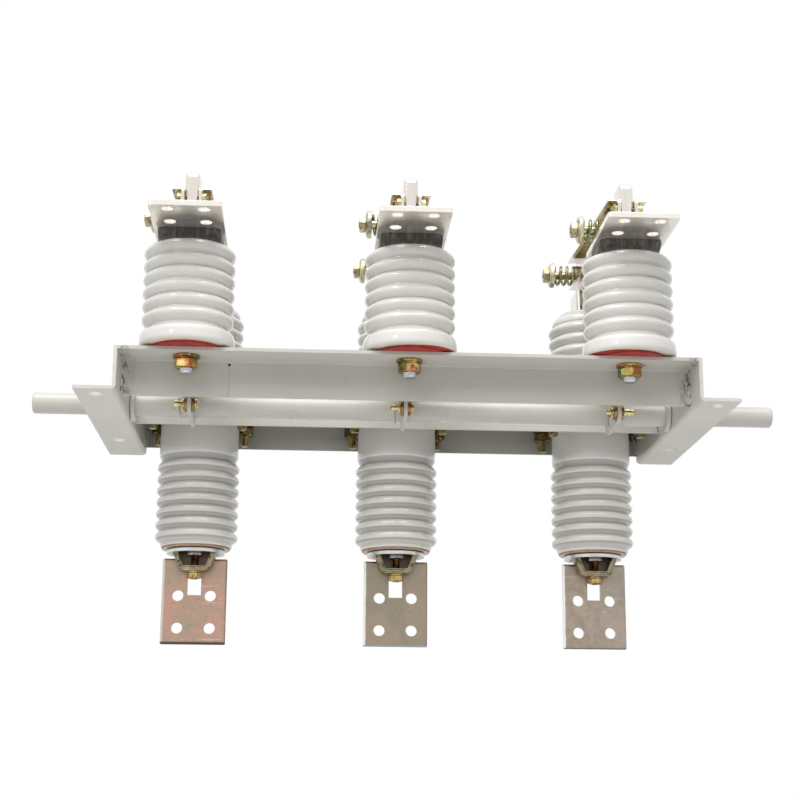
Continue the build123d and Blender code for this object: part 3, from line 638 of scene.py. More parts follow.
# ---------------------------------------------------------------- geometry trees
class Tree(Board):
    """A geometry tree with named inputs, ending in Realize Instances and Set Material."""

    def __init__(self, name, inputs):
        super().__init__(bpy.data.node_groups.new(name, "GeometryNodeTree"))
        face = self.tree.interface
        face.new_socket("Geometry", in_out="INPUT", socket_type="NodeSocketGeometry")
        self.keys = {}
        for title, kind, default in inputs:
            socket = face.new_socket(title, in_out="INPUT", socket_type="NodeSocket" + kind)
            if default is not None:
                socket.default_value = default
            self.keys[title] = socket.identifier
        socket = face.new_socket("Material", in_out="INPUT", socket_type="NodeSocketMaterial")
        self.keys["Material"] = socket.identifier
        face.new_socket("Geometry", in_out="OUTPUT", socket_type="NodeSocketGeometry")
        self.entry = self.add("NodeGroupInput")

    def value(self, title):
        return self.entry.value(title)

    def finish(self, geometry):
        real = self.add("GeometryNodeRealizeInstances", Geometry=geometry)
        done = self.add("GeometryNodeSetMaterial", Geometry=real.out(),
                        Material=self.entry.out("Material"))
        self.add("NodeGroupOutput", Geometry=done.out())
        return self

    def grow(self, name, source, material, sharp=35.0, place=None, **values):
        """Run the tree on a mesh and keep the result as a plain object."""
        carrier = bpy.data.objects.new(name + "_carrier", source)
        bpy.context.scene.collection.objects.link(carrier)
        modifier = carrier.modifiers.new("Grow", "NODES")
        modifier.node_group = self.tree
        modifier[self.keys["Material"]] = material
        for title, item in values.items():
            modifier[self.keys[title.replace("_", " ")]] = item
        view = bpy.context.evaluated_depsgraph_get()
        mesh = bpy.data.meshes.new_from_object(carrier.evaluated_get(view), depsgraph=view)
        if place:
            mesh.transform(place)
        mesh.name = name
        bpy.data.objects.remove(carrier)
        if not len(mesh.polygons):
            raise RuntimeError(name + " came out empty")
        return linked(name, mesh, material, sharp)


def outline_mesh(outline):
    """Mesh of bare vertices for an outline given in millimetres as (radius, height)."""
    mesh = bpy.data.meshes.new("outline")
    mesh.from_pydata([(radius * MM, 0.0, height * MM) for radius, height in outline], [], [])
    return mesh


def point_mesh(points):
    mesh = bpy.data.meshes.new("points")
    mesh.from_pydata([tuple(point) for point in points], [], [])
    return mesh


def raised(height, *points):
    """Outline points lifted by a height."""
    return [(radius, height + z) for radius, z in points]


def rib_rows(radius, first, last, ribs):
    """Outline rows of the valley under evenly spaced crests, to half a pitch past the end ones."""
    half = (last - first) / (2 * (ribs - 1))
    low, high = first - half, last + half
    rows = int((high - low) / ROW)
    return [(radius, low + (high - low) * k / rows) for k in range(rows + 1)]


def ribbed_tree():
    """Turns an outline about Z and raises evenly spaced ribs on part of it."""
    t = Tree("Ribbed Porcelain", [
        ("First Crest", "Float", 0.0), ("Last Crest", "Float", 0.1), ("Ribs", "Int", 6),
        ("Rise", "Float", 0.0075), ("Fullness", "Float", 0.7), ("Columns", "Int", 96)])
    source = t.entry.out("Geometry")
    rows = t.add("GeometryNodeAttributeDomainSize", Geometry=source).value("Point Count")
    grid = t.add("GeometryNodeMeshGrid", Size_X=1.0, Size_Y=1.0)
    grid.put("Vertices X", t.value("Columns") + 1)
    grid.put("Vertices Y", rows)
    across, along, _ = t.split(t.add("GeometryNodeInputPosition").out())
    index = ((along + 0.5) * (rows - 1)).math("ROUND")
    sample = t.add("GeometryNodeSampleIndex", {"data_type": "FLOAT_VECTOR"}, Geometry=source,
                   Value=t.add("GeometryNodeInputPosition").out(), Index=index)
    radius, _, height = t.split(sample.out())
    first, last = t.value("First Crest"), t.value("Last Crest")
    pitch = (last - first) / (t.value("Ribs") - 1).most(1.0)
    step = (height - first) / pitch
    inside = height.above(first - pitch * 0.5) * height.below(last + pitch * 0.5)
    wave = ((step * TURN).math("COSINE") * 0.5 + 0.5).most(0.0)
    radius = radius + (wave ** t.value("Fullness")) * inside * t.value("Rise")
    turn = (across + 0.5) * TURN
    spot = t.join(turn.math("COSINE") * radius, turn.math("SINE") * radius, height)
    skin = t.add("GeometryNodeSetPosition", Geometry=grid.out("Mesh"), Position=spot)
    sewn = t.add("GeometryNodeMergeByDistance", Geometry=skin.out(), Distance=1e-6)
    return t.finish(sewn.out())


def copies_tree():
    """Stands a copy of the part on every point, each turned about its own axis at random."""
    t = Tree("Fastener Copies", [
        ("Part", "Object", None), ("Axis", "Vector", (0.0, 0.0, 1.0)), ("Seed", "Int", 3)])
    part = t.add("GeometryNodeObjectInfo", Object=t.entry.out("Part")).out("Geometry")
    turn = t.add("FunctionNodeRandomValue", {"data_type": "FLOAT"})
    turn.put("Min_001", 0.0).put("Max_001", TURN).put("Seed", t.value("Seed"))
    spin = t.add("FunctionNodeAxisAngleToRotation", Axis=t.entry.out("Axis"),
                 Angle=turn.value("Value_001"))
    stand = t.add("GeometryNodeInstanceOnPoints", Points=t.entry.out("Geometry"), Instance=part,
                  Rotation=spin.out())
    return t.finish(stand.out())


def coil_tree():
    """Round wire wound about Z."""
    t = Tree("Coil Spring", [
        ("Turns", "Float", 3.5), ("Radius", "Float", 0.0095), ("Length", "Float", 0.032),
        ("Wire", "Float", 0.0015)])
    helix = t.add("GeometryNodeCurveSpiral", Resolution=28)
    helix.put("Rotations", t.value("Turns")).put("Height", t.value("Length"))
    helix.put("Start Radius", t.value("Radius")).put("End Radius", t.value("Radius"))
    round_wire = t.add("GeometryNodeCurvePrimitiveCircle", Resolution=12)
    round_wire.put("Radius", t.value("Wire"))
    wound = t.add("GeometryNodeCurveToMesh", Curve=helix.out(), Fill_Caps=True)
    wound.put("Profile Curve", round_wire.out("Curve"))
    return t.finish(wound.out())


def bead_tree():
    """Overlapping drops of random size along a line of points, as a hand weld lies."""
    t = Tree("Weld Bead", [("Size", "Float", 0.0024), ("Seed", "Int", 5)])
    drop = t.add("GeometryNodeMeshIcoSphere", Subdivisions=2)
    drop.put("Radius", t.value("Size"))
    size = t.add("FunctionNodeRandomValue", {"data_type": "FLOAT"})
    size.put("Min_001", 0.75).put("Max_001", 1.15).put("Seed", t.value("Seed"))
    laid = t.add("GeometryNodeInstanceOnPoints", Points=t.entry.out("Geometry"),
                 Instance=drop.out("Mesh"), Scale=size.out("Value_001"))
    return t.finish(laid.out())


# ---------------------------------------------------------------- properties
def length(name, description, default):
    return bpy.props.FloatProperty(name=name, description=description, default=default,
                                   min=0.0, unit="LENGTH", precision=5)


def number(name, description, default):
    return bpy.props.FloatProperty(name=name, description=description, default=default)


def shade(name, description, default):
    return bpy.props.FloatVectorProperty(name=name, description=description, default=default,
                                         subtype="COLOR", min=0.0, max=1.0)


class DisconnectorSizes(bpy.types.PropertyGroup):
    """Sizes that the pieces are made from."""

    rib_rise: length("Rib Rise", "How far a bushing rib stands out of its valley", 0.0058)
    post_rise: length("Post Rib Rise", "How far a post rib stands out of its valley", 0.0060)
    foot_height: length("Foot Height", "Height of a post insulator's white foot", 0.0165)
    post_fullness: number("Post Rib Fullness", "Lower is rounder and fuller", 0.42)
    bushing_fullness: number("Bushing Rib Fullness", "Lower is rounder and fuller", 0.45)
    columns: bpy.props.IntProperty(
        name="Columns", description="Facets round each turned body", default=112, min=16)
    spring_turns: number("Spring Turns", "Coils in each clamp spring", 3.0)
    spring_wire: length("Spring Wire", "Radius of the spring wire", 0.0018)
    weld: length("Weld", "Radius of a weld drop", 0.0024)


class DisconnectorColours(bpy.types.PropertyGroup):
    """Colours of the finishes."""

    paint: shade("Paint", "Frame and shaft", (0.560, 0.545, 0.500))
    glaze: shade("Glaze", "Porcelain", (0.690, 0.678, 0.645))
    foot: shade("Foot", "White foot of the posts", (0.760, 0.742, 0.712))
    chromate: shade("Chromate", "Fasteners", (0.540, 0.410, 0.150))
    silver: shade("Silver", "Upper terminals, contacts and blades", (0.820, 0.785, 0.725))
    tail: shade("Tail", "Middle and right lower terminals", (0.380, 0.312, 0.240))
    tail_warm: shade("Warm Tail", "Left lower terminal", (0.480, 0.350, 0.268))
    rubber: shade("Rubber", "Gaskets under the posts", (0.460, 0.050, 0.040))
    enamel: shade("Enamel", "Castings", (0.030, 0.027, 0.025))
    fibre: shade("Fibre", "Gaskets under the bushings", (0.620, 0.350, 0.190))


def sizes():
    return bpy.context.scene.disconnector_sizes


def colours():
    """The colour settings, as plain tuples."""
    group = bpy.context.scene.disconnector_colours
    return SimpleNamespace(**{name: tuple(getattr(group, name))
                              for name in DisconnectorColours.__annotations__})


def looks():
    """Each finish as its maker, its material's name and what the maker is told."""
    c = colours()
    foot = TOP + 0.003
    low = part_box("left_bushing")[0].z
    crest = low + LOWER_FIRST * MM
    pitch = (TOP + LOWER_LAST * MM - crest) / (LOWER_RIBS - 1)
    # where the bushing glaze gets painted light and shade: first crest, pitch, top of the ribs, lip
    # of the collar
    rib_light_marks = (crest, pitch, TOP - 0.0755, TOP - 0.0670)
    seam = (0.147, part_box("front_beam")[1].y - STEEL, TOP - 0.0079)
    # a spot of painted shade on the flange, by the right post's nut
    shade_dot = (POLE_X["right"] + 0.0172, POST_Y - 0.002)
    paints = {
        "paint": ("Frame_Paint", c.paint),
        # a darker copy of the frame paint: painted shade on the rear beam, deep under the frame
        "rear_shaded_paint": ("Rear_Beam_Paint", tint(c.paint, 0.66)),
        # a lighter copy of the frame paint: painted light on the end angles
        "end_lit_paint": ("End_Angle_Paint", tint(c.paint, 1.15)),
        "front_paint": ("Front_Beam_Paint", c.paint, 0.8, seam, shade_dot),
        "soot_paint": ("Welded_Paint", tint(c.paint, 1.1), 0.9),
        "shaft_paint": ("Shaft_Paint", c.paint, None, None, None, 0.20),
    }
    glazes = {
        # a lighter copy of the glaze: painted light on the posts, which stand in more light than
        # the bushings
        "post_glaze": ("Post_Glaze", tint(c.glaze, 1.04), c.foot, foot, foot + sizes().foot_height),
        "glaze": ("Bushing_Glaze", c.glaze, c.foot, None, None, rib_light_marks),
        "rod_glaze": ("Rod_Glaze", c.glaze, c.foot),
    }
    chromates = {
        "chromate": ("Yellow_Chromate", c.chromate, (0.56, 0.27, 0.12), (0.27, 0.30, 0.10)),
        # a darker copy of the chromate: painted shade on the bushing flange bolts under the frame
        "aged": ("Aged_Chromate", tint(c.chromate, 0.5), (0.26, 0.15, 0.06), (0.15, 0.19, 0.06)),
        "copper": ("Browned_Copper", (0.24, 0.11, 0.05), (0.15, 0.06, 0.03), (0.30, 0.17, 0.08)),
        "stud_chromate": ("Stud_Chromate", c.chromate, (0.60, 0.17, 0.07), (0.24, 0.27, 0.07),
                          62.0, -0.04, TOP - STEEL - 0.0149, 0.86),
        "pin": ("Bright_Chromate", (0.74, 0.68, 0.38), (0.62, 0.36, 0.20), (0.46, 0.46, 0.16),
                90.0, -0.08),
        "fork": ("Brown_Chromate", (0.40, 0.25, 0.10), (0.34, 0.12, 0.06), (0.24, 0.22, 0.07),
                 90.0),
        "strap": ("Strap_Chromate", (0.35, 0.31, 0.20), (0.38, 0.29, 0.19), (0.26, 0.27, 0.16),
                  80.0, 0.10),
        "cup": ("Cup_Chromate", (0.72, 0.62, 0.42), (0.80, 0.68, 0.62), (0.50, 0.52, 0.34),
                44.0, 0.06),
        "pale": ("Pale_Chromate", (0.46, 0.42, 0.24), (0.44, 0.30, 0.18), (0.36, 0.38, 0.22),
                 120.0, 0.04),
        "spring": ("Spring_Chromate", (0.32, 0.32, 0.15), (0.38, 0.28, 0.14), (0.18, 0.24, 0.12),
                   120.0),
    }
    # each tail: name, colour, pink, green, gold, warmth, centre, edge colours (painted highlight
    # left, painted shade right and bottom) and the bottom band's height
    tails = {
        "left_tail": ("Left_Tail_Plate", c.tail_warm, (0.58, 0.345, 0.28), (0.39, 0.35, 0.27),
                      (0.54, 0.41, 0.27), 1.0, POLE_X["left"],
                      ((0.66, 0.62, 0.54), (0.20, 0.17, 0.15), (0.07, 0.06, 0.055)), 0.0038),
        "middle_tail": ("Middle_Tail_Plate", c.tail, (0.40, 0.31, 0.25), (0.31, 0.28, 0.21),
                        (0.38, 0.32, 0.22), 0.6, POLE_X["middle"],
                        ((0.92, 0.92, 0.90), (0.20, 0.18, 0.16), (0.42, 0.45, 0.48)), 0.0022),
        "right_tail": ("Right_Tail_Plate", c.tail, (0.49, 0.40, 0.36), (0.35, 0.33, 0.26),
                       (0.45, 0.39, 0.31), 0.7, POLE_X["right"],
                       ((0.95, 0.95, 0.94), (0.20, 0.18, 0.16), (0.12, 0.12, 0.12)), 0.0012),
    }
    others = {
        "disc": (disc_finish, "White_Zinc_Disc", (0.72, 0.72, 0.70)),
        "silver": (plate_finish, "Silver_Plate", tint(c.silver, 1.1), (0.80, 0.76, 0.68),
                   (90, 12, 90), 0.3, 0.8, 0.04),
        "contact": (plate_finish, "Silver_Contact", tint(c.silver, 0.95), (0.70, 0.62, 0.50),
                    (90, 90, 12), 0.35),
        "cement": (bare_finish, "Joint_Cement", (0.30, 0.23, 0.18)),
        "washer": (bare_finish, "Grey_Washer", (0.56, 0.51, 0.46)),
        "steel": (bare_finish, "Bare_Steel", (0.52, 0.51, 0.48)),
        "zinc": (bare_finish, "White_Zinc", (0.70, 0.69, 0.66)),
        "cap": (casting_finish, "Cap_Enamel", c.enamel, 0.7),
        "enamel": (casting_finish, "Black_Enamel", c.enamel),
        "rubber": (sheet_finish, "Red_Rubber", c.rubber, (0.30, 0.03, 0.03), 0.6),
        "fibre": (sheet_finish, "Brown_Fibre", c.fibre, (0.36, 0.17, 0.07), 0.7),
    }
    for maker, table in ((paint_finish, paints), (glaze_finish, glazes),
                         (chromate_finish, chromates), (rainbow_finish, tails)):
        others.update({name: (maker, *told) for name, told in table.items()})
    return others


FINISHES = {}


def finish(name):
    """A finish by name, made the first time it is asked for."""
    if name not in FINISHES:
        maker, *told = looks()[name]
        FINISHES[name] = maker(*told)
    return FINISHES[name]


def dress(node, look, edge=0.0):
    """Give a frame node its finish, and break its sharp edges; its own mesh stays as it is."""
    piece = frame["nodes"][node]
    piece.data.materials.clear()
    piece.data.materials.append(finish(look))
    if edge:
        weld = piece.modifiers.new("Weld", "WELD")
        weld.merge_threshold = 1e-6
        flat = piece.modifiers.new("Flats", "DECIMATE")
        flat.decimate_type = "DISSOLVE"
        flat.angle_limit = math.radians(0.5)
        edges = piece.modifiers.new("Edges", "BEVEL")
        edges.width = edge
        edges.segments = 2
        edges.loop_slide = False
        edges.limit_method = "ANGLE"
        edges.angle_limit = math.radians(40)
        even = piece.modifiers.new("Normals", "WEIGHTED_NORMAL")
        even.weight = 90


def fit(piece, body, slot, *nodes):
    """Hang a new piece on its body, for the nodes it stands for."""
    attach(piece, body)
    if nodes:
        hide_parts(*nodes)


def build(name, shape, look, body, slot, *nodes):
    """Make a shape into a piece and fit it."""
    fit(linked(name, shape.mesh(name), finish(look)), body, slot, *nodes)


def porcelain(tree, name, look, place, outline, crests, rise, fullness, columns):
    """Turn an outline with ribs; crests is (first, last, how many), in millimetres."""
    first, last, ribs = crests
    return tree.grow(name, outline_mesh(outline), finish(look), 50.0, place,
                     First_Crest=first * MM, Last_Crest=last * MM, Ribs=ribs, Rise=rise,
                     Fullness=fullness, Columns=columns)


# ---------------------------------------------------------------- operators
class DISCONNECTOR_OT_frame(bpy.types.Operator):
    """Paint the welded frame and the shaft, and lay the weld beads"""

    bl_idname = "disconnector.frame"
    bl_label = "Frame and Welds"

    def execute(self, context):
        for node in ("middle_beam", "crank_arms"):
            dress(node, "paint", EDGE)
        for node in ("left_end_angle", "right_end_angle"):
            dress(node, "end_lit_paint", EDGE)
        dress("rear_beam", "rear_shaded_paint", EDGE)
        dress("front_beam", "front_paint", EDGE)
        dress("shaft_bearings", "paint")
        dress("main_shaft", "shaft_paint")
        inset, end = 0.0008, 0.004                   # beads from the beam's ends and edges
        points = []
        for beam in ("front_beam", "middle_beam", "rear_beam"):
            low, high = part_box(beam)
            wall = {"front_beam": high.y - STEEL, "middle_beam": low.y, "rear_beam": high.y}[beam]
            y = min(wall, CAD_BOX[1][1] - 0.003)
            count = int((high.z - low.z) / (sizes().weld * 1.1))
            for x in (low.x + inset, high.x - inset):
                for k in range(count):
                    rise = (high.z - low.z - 2 * end) * k / max(1, count - 1)
                    points.append((x, y, low.z + end + rise))
        beads = bead_tree().grow("weld_beads", point_mesh(points), finish("soot_paint"), 60.0,
                                 Size=sizes().weld)
        fit(beads, "frame", "frame_paint")
        return {"FINISHED"}


class DISCONNECTOR_OT_posts(bpy.types.Operator):
    """Turn the three ribbed post insulators with their white feet"""

    bl_idname = "disconnector.posts"
    bl_label = "Post Insulators"

    def execute(self, context):
        tree, s = ribbed_tree(), sizes()
        base, top = level("left_post_insulator")
        foot = base + s.foot_height / MM
        crests = (base + 31.0, top - 8.0, 6)
        outline = raised(base, (0, 0), (50.5, 0), (52.4, 0.4), (53.2, 1.6), (53.4, 4), (53.3, 8),
                         (52.9, 12))
        outline += raised(foot, (52.2, -2.0), (51.2, -0.5), (49.6, 0.3), (47.6, 1.6), (46.0, 3.4),
                          (44.8, 5.6))
        outline += rib_rows(CREST - s.post_rise / MM, *crests)
        outline = [point for point in outline if point[1] <= top - 0.6]
        outline += raised(top, (42.5, -0.4), (40.5, 0), (0, 0))
        joint = Shape()
        for pole in POLES:
            piece = porcelain(tree, pole + "_post_porcelain", "post_glaze", stand(pole, POST_Y),
                              outline, crests, s.post_rise, s.post_fullness, s.columns)
            fit(piece, "frame", "porcelain", pole + "_post_insulator")
            joint.turned(raised(top, (38.6, 0), (40.2, 0), (39.6, 0.9), (38.6, 1.5)),
                         stand(pole, POST_Y, MM), loop=True)
        build("cap_cement", joint, "cement", "frame", "brown_gasket")
        dress("post_gaskets", "rubber")
        dress("post_caps", "cap", 0.0008)
        return {"FINISHED"}


class DISCONNECTOR_OT_bushings(bpy.types.Operator):
    """Turn the three ribbed bushings and dress what is clamped to them"""

    bl_idname = "disconnector.bushings"
    bl_label = "Bushings"

    def strap_rows(self):
        """Rings of a pressed strap: a channel section bent twice under the disc."""
        low, high = (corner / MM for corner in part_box("straps"))
        wide, narrow, thick, bend = high.x - POLE_X["right"] / MM, 18.0, 6.6, 7.4
        drop, steps = high.z - low.z, 5
        lean = math.hypot(wide - narrow, drop)
        tilt = math.atan2(drop, wide - narrow)
        back = bend * math.tan(tilt / 2)
        path = [(wide, high.z, lean / drop, 0.0)]
        for k in range(steps + 1):
            turn = tilt * (1 - k / steps)
            path.append((narrow - back + bend * math.sin(turn),
                         low.z + bend * (1 - math.cos(turn)), math.sin(turn), math.cos(turn)))
        path = [(-x, z, across, up) for x, z, across, up in path] + [
            (x, z, -across, up) for x, z, across, up in reversed(path)]
        lips = [(0.0, 0.5), (0.5, 0.0), (1.5, 0.0), (2.0, 1.2)]
        section = [(d, low.y + rise) for d, rise in lips]
        section += [(thick - d, low.y + rise) for d, rise in reversed(lips)]
        section += [(thick, high.y), (0.0, high.y)]
        return [[(x + across * d, y, z + up * d) for d, y in section]
                for x, z, across, up in path]

    def execute(self, context):
        tree, s = ribbed_tree(), sizes()
        bottom, top = level("left_bushing")
        flange = level("left_bushing_flange")[1]
        valley = CREST - s.rib_rise / MM
        lower_crests = (bottom + LOWER_FIRST, LOWER_LAST, LOWER_RIBS)
        upper_crests = (32.0, top - 24.0, 6)
        rows = rib_rows(valley, *lower_crests)
        lower = raised(bottom, (0, 0), (42.6, 0), (43.8, 0.4), (44.5, 1.4), (44.8, 3.0))
        lower += [(45.0, rows[0][1] - 0.8), *rows]
        lower += raised(rows[-1][1], (valley + 0.3, 0.5), (46.4, 1.5))
        lower += [(48.6, -68.2), (49.2, -67.4), (COLLAR, -66.4), (COLLAR, -60.0),
                  (COLLAR, -30.0), (COLLAR, flange - 0.2)]
        rows = rib_rows(valley, *upper_crests)
        upper = raised(flange, (0, 0), (48.0, 0), (47.0, 4.0), (valley + 0.1, 8.5))
        upper += [row for row in rows if row[1] > flange + 8.6]
        upper += raised(rows[-1][1], (46.2, 0.6), (46.5, 1.8))
        upper += raised(top, (46.4, -12.6), (45.6, -9.6), (44.0, -7.2), (41.8, -5.4),
                        (39.4, -4.4), (38.0, -4.1), (37.5, -3.8), (37.5, -0.6), (36.9, 0), (0, 0))
        under = level("end_gaskets")[0]
        seat, washer, ring, strap = Shape(), Shape(), Shape(), Shape()
        for pole in POLES:
            halves = (("_bushing_lower", lower, lower_crests, s.rib_rise, [pole + "_bushing"]),
                      ("_bushing_upper", upper, upper_crests, s.rib_rise - 0.0003, []))
            for name, outline, crests, rise, nodes in halves:
                piece = porcelain(tree, pole + name, "glaze", stand(pole, BUSH_Y), outline, crests,
                                  rise, s.bushing_fullness, s.columns)
                fit(piece, "frame", "porcelain", *nodes)
            dress(pole + "_bushing_flange", "enamel", 0.0012)
            dress(pole + "_bottom_terminal", pole + "_tail", EDGE)
            place = stand(pole, BUSH_Y, MM)
            # a black ring in the gap between the gasket and the disc: a dark sheet standing in for
            # the shade there
            seat.washer(20.0, 35.6, under, under + 1.5, place=place, columns=96)
            washer.turned(raised(under, (20.0, 1.5), (41.4, 1.5), (41.9, 1.7), (41.9, 2.0),
                                 (20.0, 2.0)), place, 96, loop=True)
            ring.turned([*raised(under, (20.0, 2.0), (41.9, 2.0), (42.5, 2.5), (42.5, 3.5)),
                         (42.0, bottom), (20.0, bottom)], place, 96, loop=True)
            strap.rings(self.strap_rows(), Matrix.Translation((POLE_X[pole] / MM, 0, 0)))
        build("disc_seats", seat, "enamel", "frame", "black_cast")
        build("gasket_washers", washer, "washer", "frame", "tin_plate")
        build("brown_gaskets", ring, "fibre", "frame", "brown_gasket", "end_gaskets")
        build("strap_set", strap, "strap", "frame", "yellow_zinc", "straps")
        dress("end_discs", "disc")
        return {"FINISHED"}


class DISCONNECTOR_OT_contacts(bpy.types.Operator):
    """Dress the terminals, fixed contacts, hinge contacts and blades"""

    bl_idname = "disconnector.contacts"
    bl_label = "Terminals and Blades"

    def execute(self, context):
        for pole in POLES:
            dress(pole + "_top_terminal", "silver", EDGE)
            for node in ("_fixed_contact", "_hinge_contact", "_blade_pair"):
                dress(pole + node, "contact", EDGE)
            dress(pole + "_lock_bars", "chromate", 0.0004)
        return {"FINISHED"}


class DISCONNECTOR_OT_rods(bpy.types.Operator):
    """Turn the ribbed bodies of the pull rods and dress their ends"""

    bl_idname = "disconnector.rods"
    bl_label = "Pull Rods"

    def execute(self, context):
        tree = ribbed_tree()
        reach = BLADE_PIN - CRANK_PIN
        body, ribs, core, rise, row = 146.0, 8, 17.0, 5.0, 1.1       # millimetres, but for ribs
        low = (reach.length / MM - body) / 2
        pitch = body / ribs
        rows = int(body / row)
        outline = [(0, low), (core - 1.5, low)]
        outline += [(core, low + 0.8 + (body - 1.6) * k / rows) for k in range(rows + 1)]
        outline += [(core - 1.5, low + body), (0, low + body)]
        crests = (low + pitch / 2, low + body - pitch / 2, ribs)
        for pole in POLES:
            place = stand(pole, CRANK_PIN.y, z=CRANK_PIN.z) @ spin_to(reach)
            piece = porcelain(tree, pole + "_rod_porcelain", "rod_glaze", place, outline, crests,
                              rise * MM, 0.9, 64)
            fit(piece, pole + "_rod", "rod_resin", pole + "_pull_rod_insulator")
            dress(pole + "_pull_rod_ends", "fork")
        return {"FINISHED"}


class DISCONNECTOR_OT_fasteners(bpy.types.Operator):
    """Bolts, nuts, washers, clamp springs and split pins"""

    bl_idname = "disconnector.fasteners"
    bl_label = "Fasteners and Springs"

    def mould(self, name, shape, look="chromate", turn=None):
        """A part that copies are taken from; it is removed at the end."""
        piece = linked(name + "_mould", shape.mesh(name), finish(look))
        if turn:
            piece.data.transform(turn)
        self.moulds.append(piece)
        return piece

    def spread(self, name, look, part, spots, body, *nodes, **values):
        """One piece with a copy of the part on each spot."""
        piece = self.copies.grow(name, point_mesh(spots), finish(look), Part=part, **values)
        fit(piece, body, "yellow_zinc", *nodes)

    def frame_bolts(self):
        """Studs with nuts under the posts, and the bolts of the bushing flanges."""
        t = STEEL / MM
        post = Shape()
        post.washer(8.2, 15.0, t, t + 3.0, 0.6, 0.5)
        post.turned(raised(t, (8.2, 3.0), (12.2, 3.0), (12.5, 3.4), (12.5, 4.2), (12.2, 4.5),
                           (8.2, 4.5)), loop=True)
        post.nut(24.0, t + 4.9, t + 14.6).thread(8.0, 2.0, -3.0, t + 20.5)
        spots = [(POLE_X[pole], POST_Y, TOP) for pole in POLES]
        self.spread("post_fixings", "stud_chromate", self.mould("post_fixing", post, turn=DOWN),
                    spots, "frame", "post_stud_nuts", Seed=4)
        bolt = Shape()
        bolt.nut(19.0, 12.0, 19.5, both=False)
        bolt.washer(6.2, 12.0, -t - 2.5, -t, 0.4, 0.4)
        bolt.nut(19.0, -t - 12.3, -t - 2.5)
        bolt.nut(19.0, -t - 22.6, -t - 12.8, Matrix.Rotation(math.radians(22), 4, "Z"))
        bolt.thread(6.0, 1.75, -12.0, 41.0, DOWN)
        across, along = FLANGE_BOLTS
        spots = [(POLE_X[pole] + dx, BUSH_Y + dy, TOP)
                 for pole in POLES for dx in (-across, across) for dy in (-along, along)]
        self.spread("flange_bolts", "aged", self.mould("flange_bolt", bolt), spots, "frame",
                    "bushing_flange_bolts", Seed=9)

    def strap_bolts(self):
        """The bolt below each strap, and its shank and head inside the strap."""
        disc, foot = level("end_discs")[0], level("straps")[0]
        y = middle("strap_bolts").y
        bolt = Shape()
        bolt.washer(5.2, 8.9, foot - 2.0, foot, 0.3, 0.4)
        bolt.nut(16.0, foot - 9.0, foot - 2.3).thread(5.0, 1.5, -foot, 10.0 - foot, DOWN)
        self.spread("strap_bolt_set", "chromate", self.mould("strap_bolt", bolt),
                    [(POLE_X[pole], y, TOP) for pole in POLES], "frame", "strap_bolts", Seed=2)
        shank, head = Shape(), Shape()
        for pole in POLES:
            shank.thread(4.6, 1.5, foot - 1.0, disc - 2.0, stand(pole, y, MM))
            head.nut(17.0, disc - 3.6, disc, stand(pole, y, MM))
        build("strap_shanks", shank, "copper", "frame", "yellow_zinc")
        build("strap_heads", head, "steel", "frame", "yellow_zinc")

    def crank_bolts(self):
        """A pin with washers through each crank, and a bent split pin in its end."""
        arm = 6.05                                   # crank's middle to the fork's outside, mm
        hole = -arm - 6.4
        legs = {"left": ((0.25, 14.0),), "middle": ((0.0, 19.0), (0.06, 15.0)),
                "right": ((0.0, 21.0), (0.12, 14.0))}          # lean and length of each leg
        for pole in POLES:
            pin, split = Shape(), Shape()
            place = stand(pole, CRANK_PIN.y, MM, CRANK_PIN.z) @ ALONG_X
            if pole == "right":
                low, high = -arm - 8.0, arm + 12.0
                discs = [-arm - 1.7 * (k + 1) for k in range(3)]
            else:
                low, high = -arm - 12.0, arm + 4.0
                discs = [arm + 0.1, arm + 2.0, -arm - 1.7]
            pin.turned(raised(low, (0, 0), (3.4, 0), (4.0, 0.7))
                       + raised(high, (4.0, -0.7), (3.4, 0), (0, 0)), place, columns=28)
            for k, face in enumerate(discs):
                pin.washer(4.1, 6.4 - 0.6 * (k % 2), face, face + 1.6, 0.3, 0.3, place, 28)
            for k, (lean, reach) in enumerate(legs[pole]):
                split.wire([(3.0 + reach * n / 8, (k - 0.5) * 1.6 * min(1.0, n / 2),
                             hole + lean * reach * n / 8) for n in range(9)], 0.75, place)
            split.wire([(-3.6, 0.0, hole), (3.2, 0.0, hole)], 0.9, place)
            split.wire([(-4.6 + 1.6 * math.cos(k * TURN / 12), 1.6 * math.sin(k * TURN / 12),
                         hole) for k in range(12)], 0.7, place)
            build(pole + "_crank_bolt", pin, "pin", "shaft", "yellow_zinc",
                  *(["crank_pins"] if pole == "left" else []))
            build(pole + "_split_pin", split, "zinc", "shaft", "yellow_zinc")

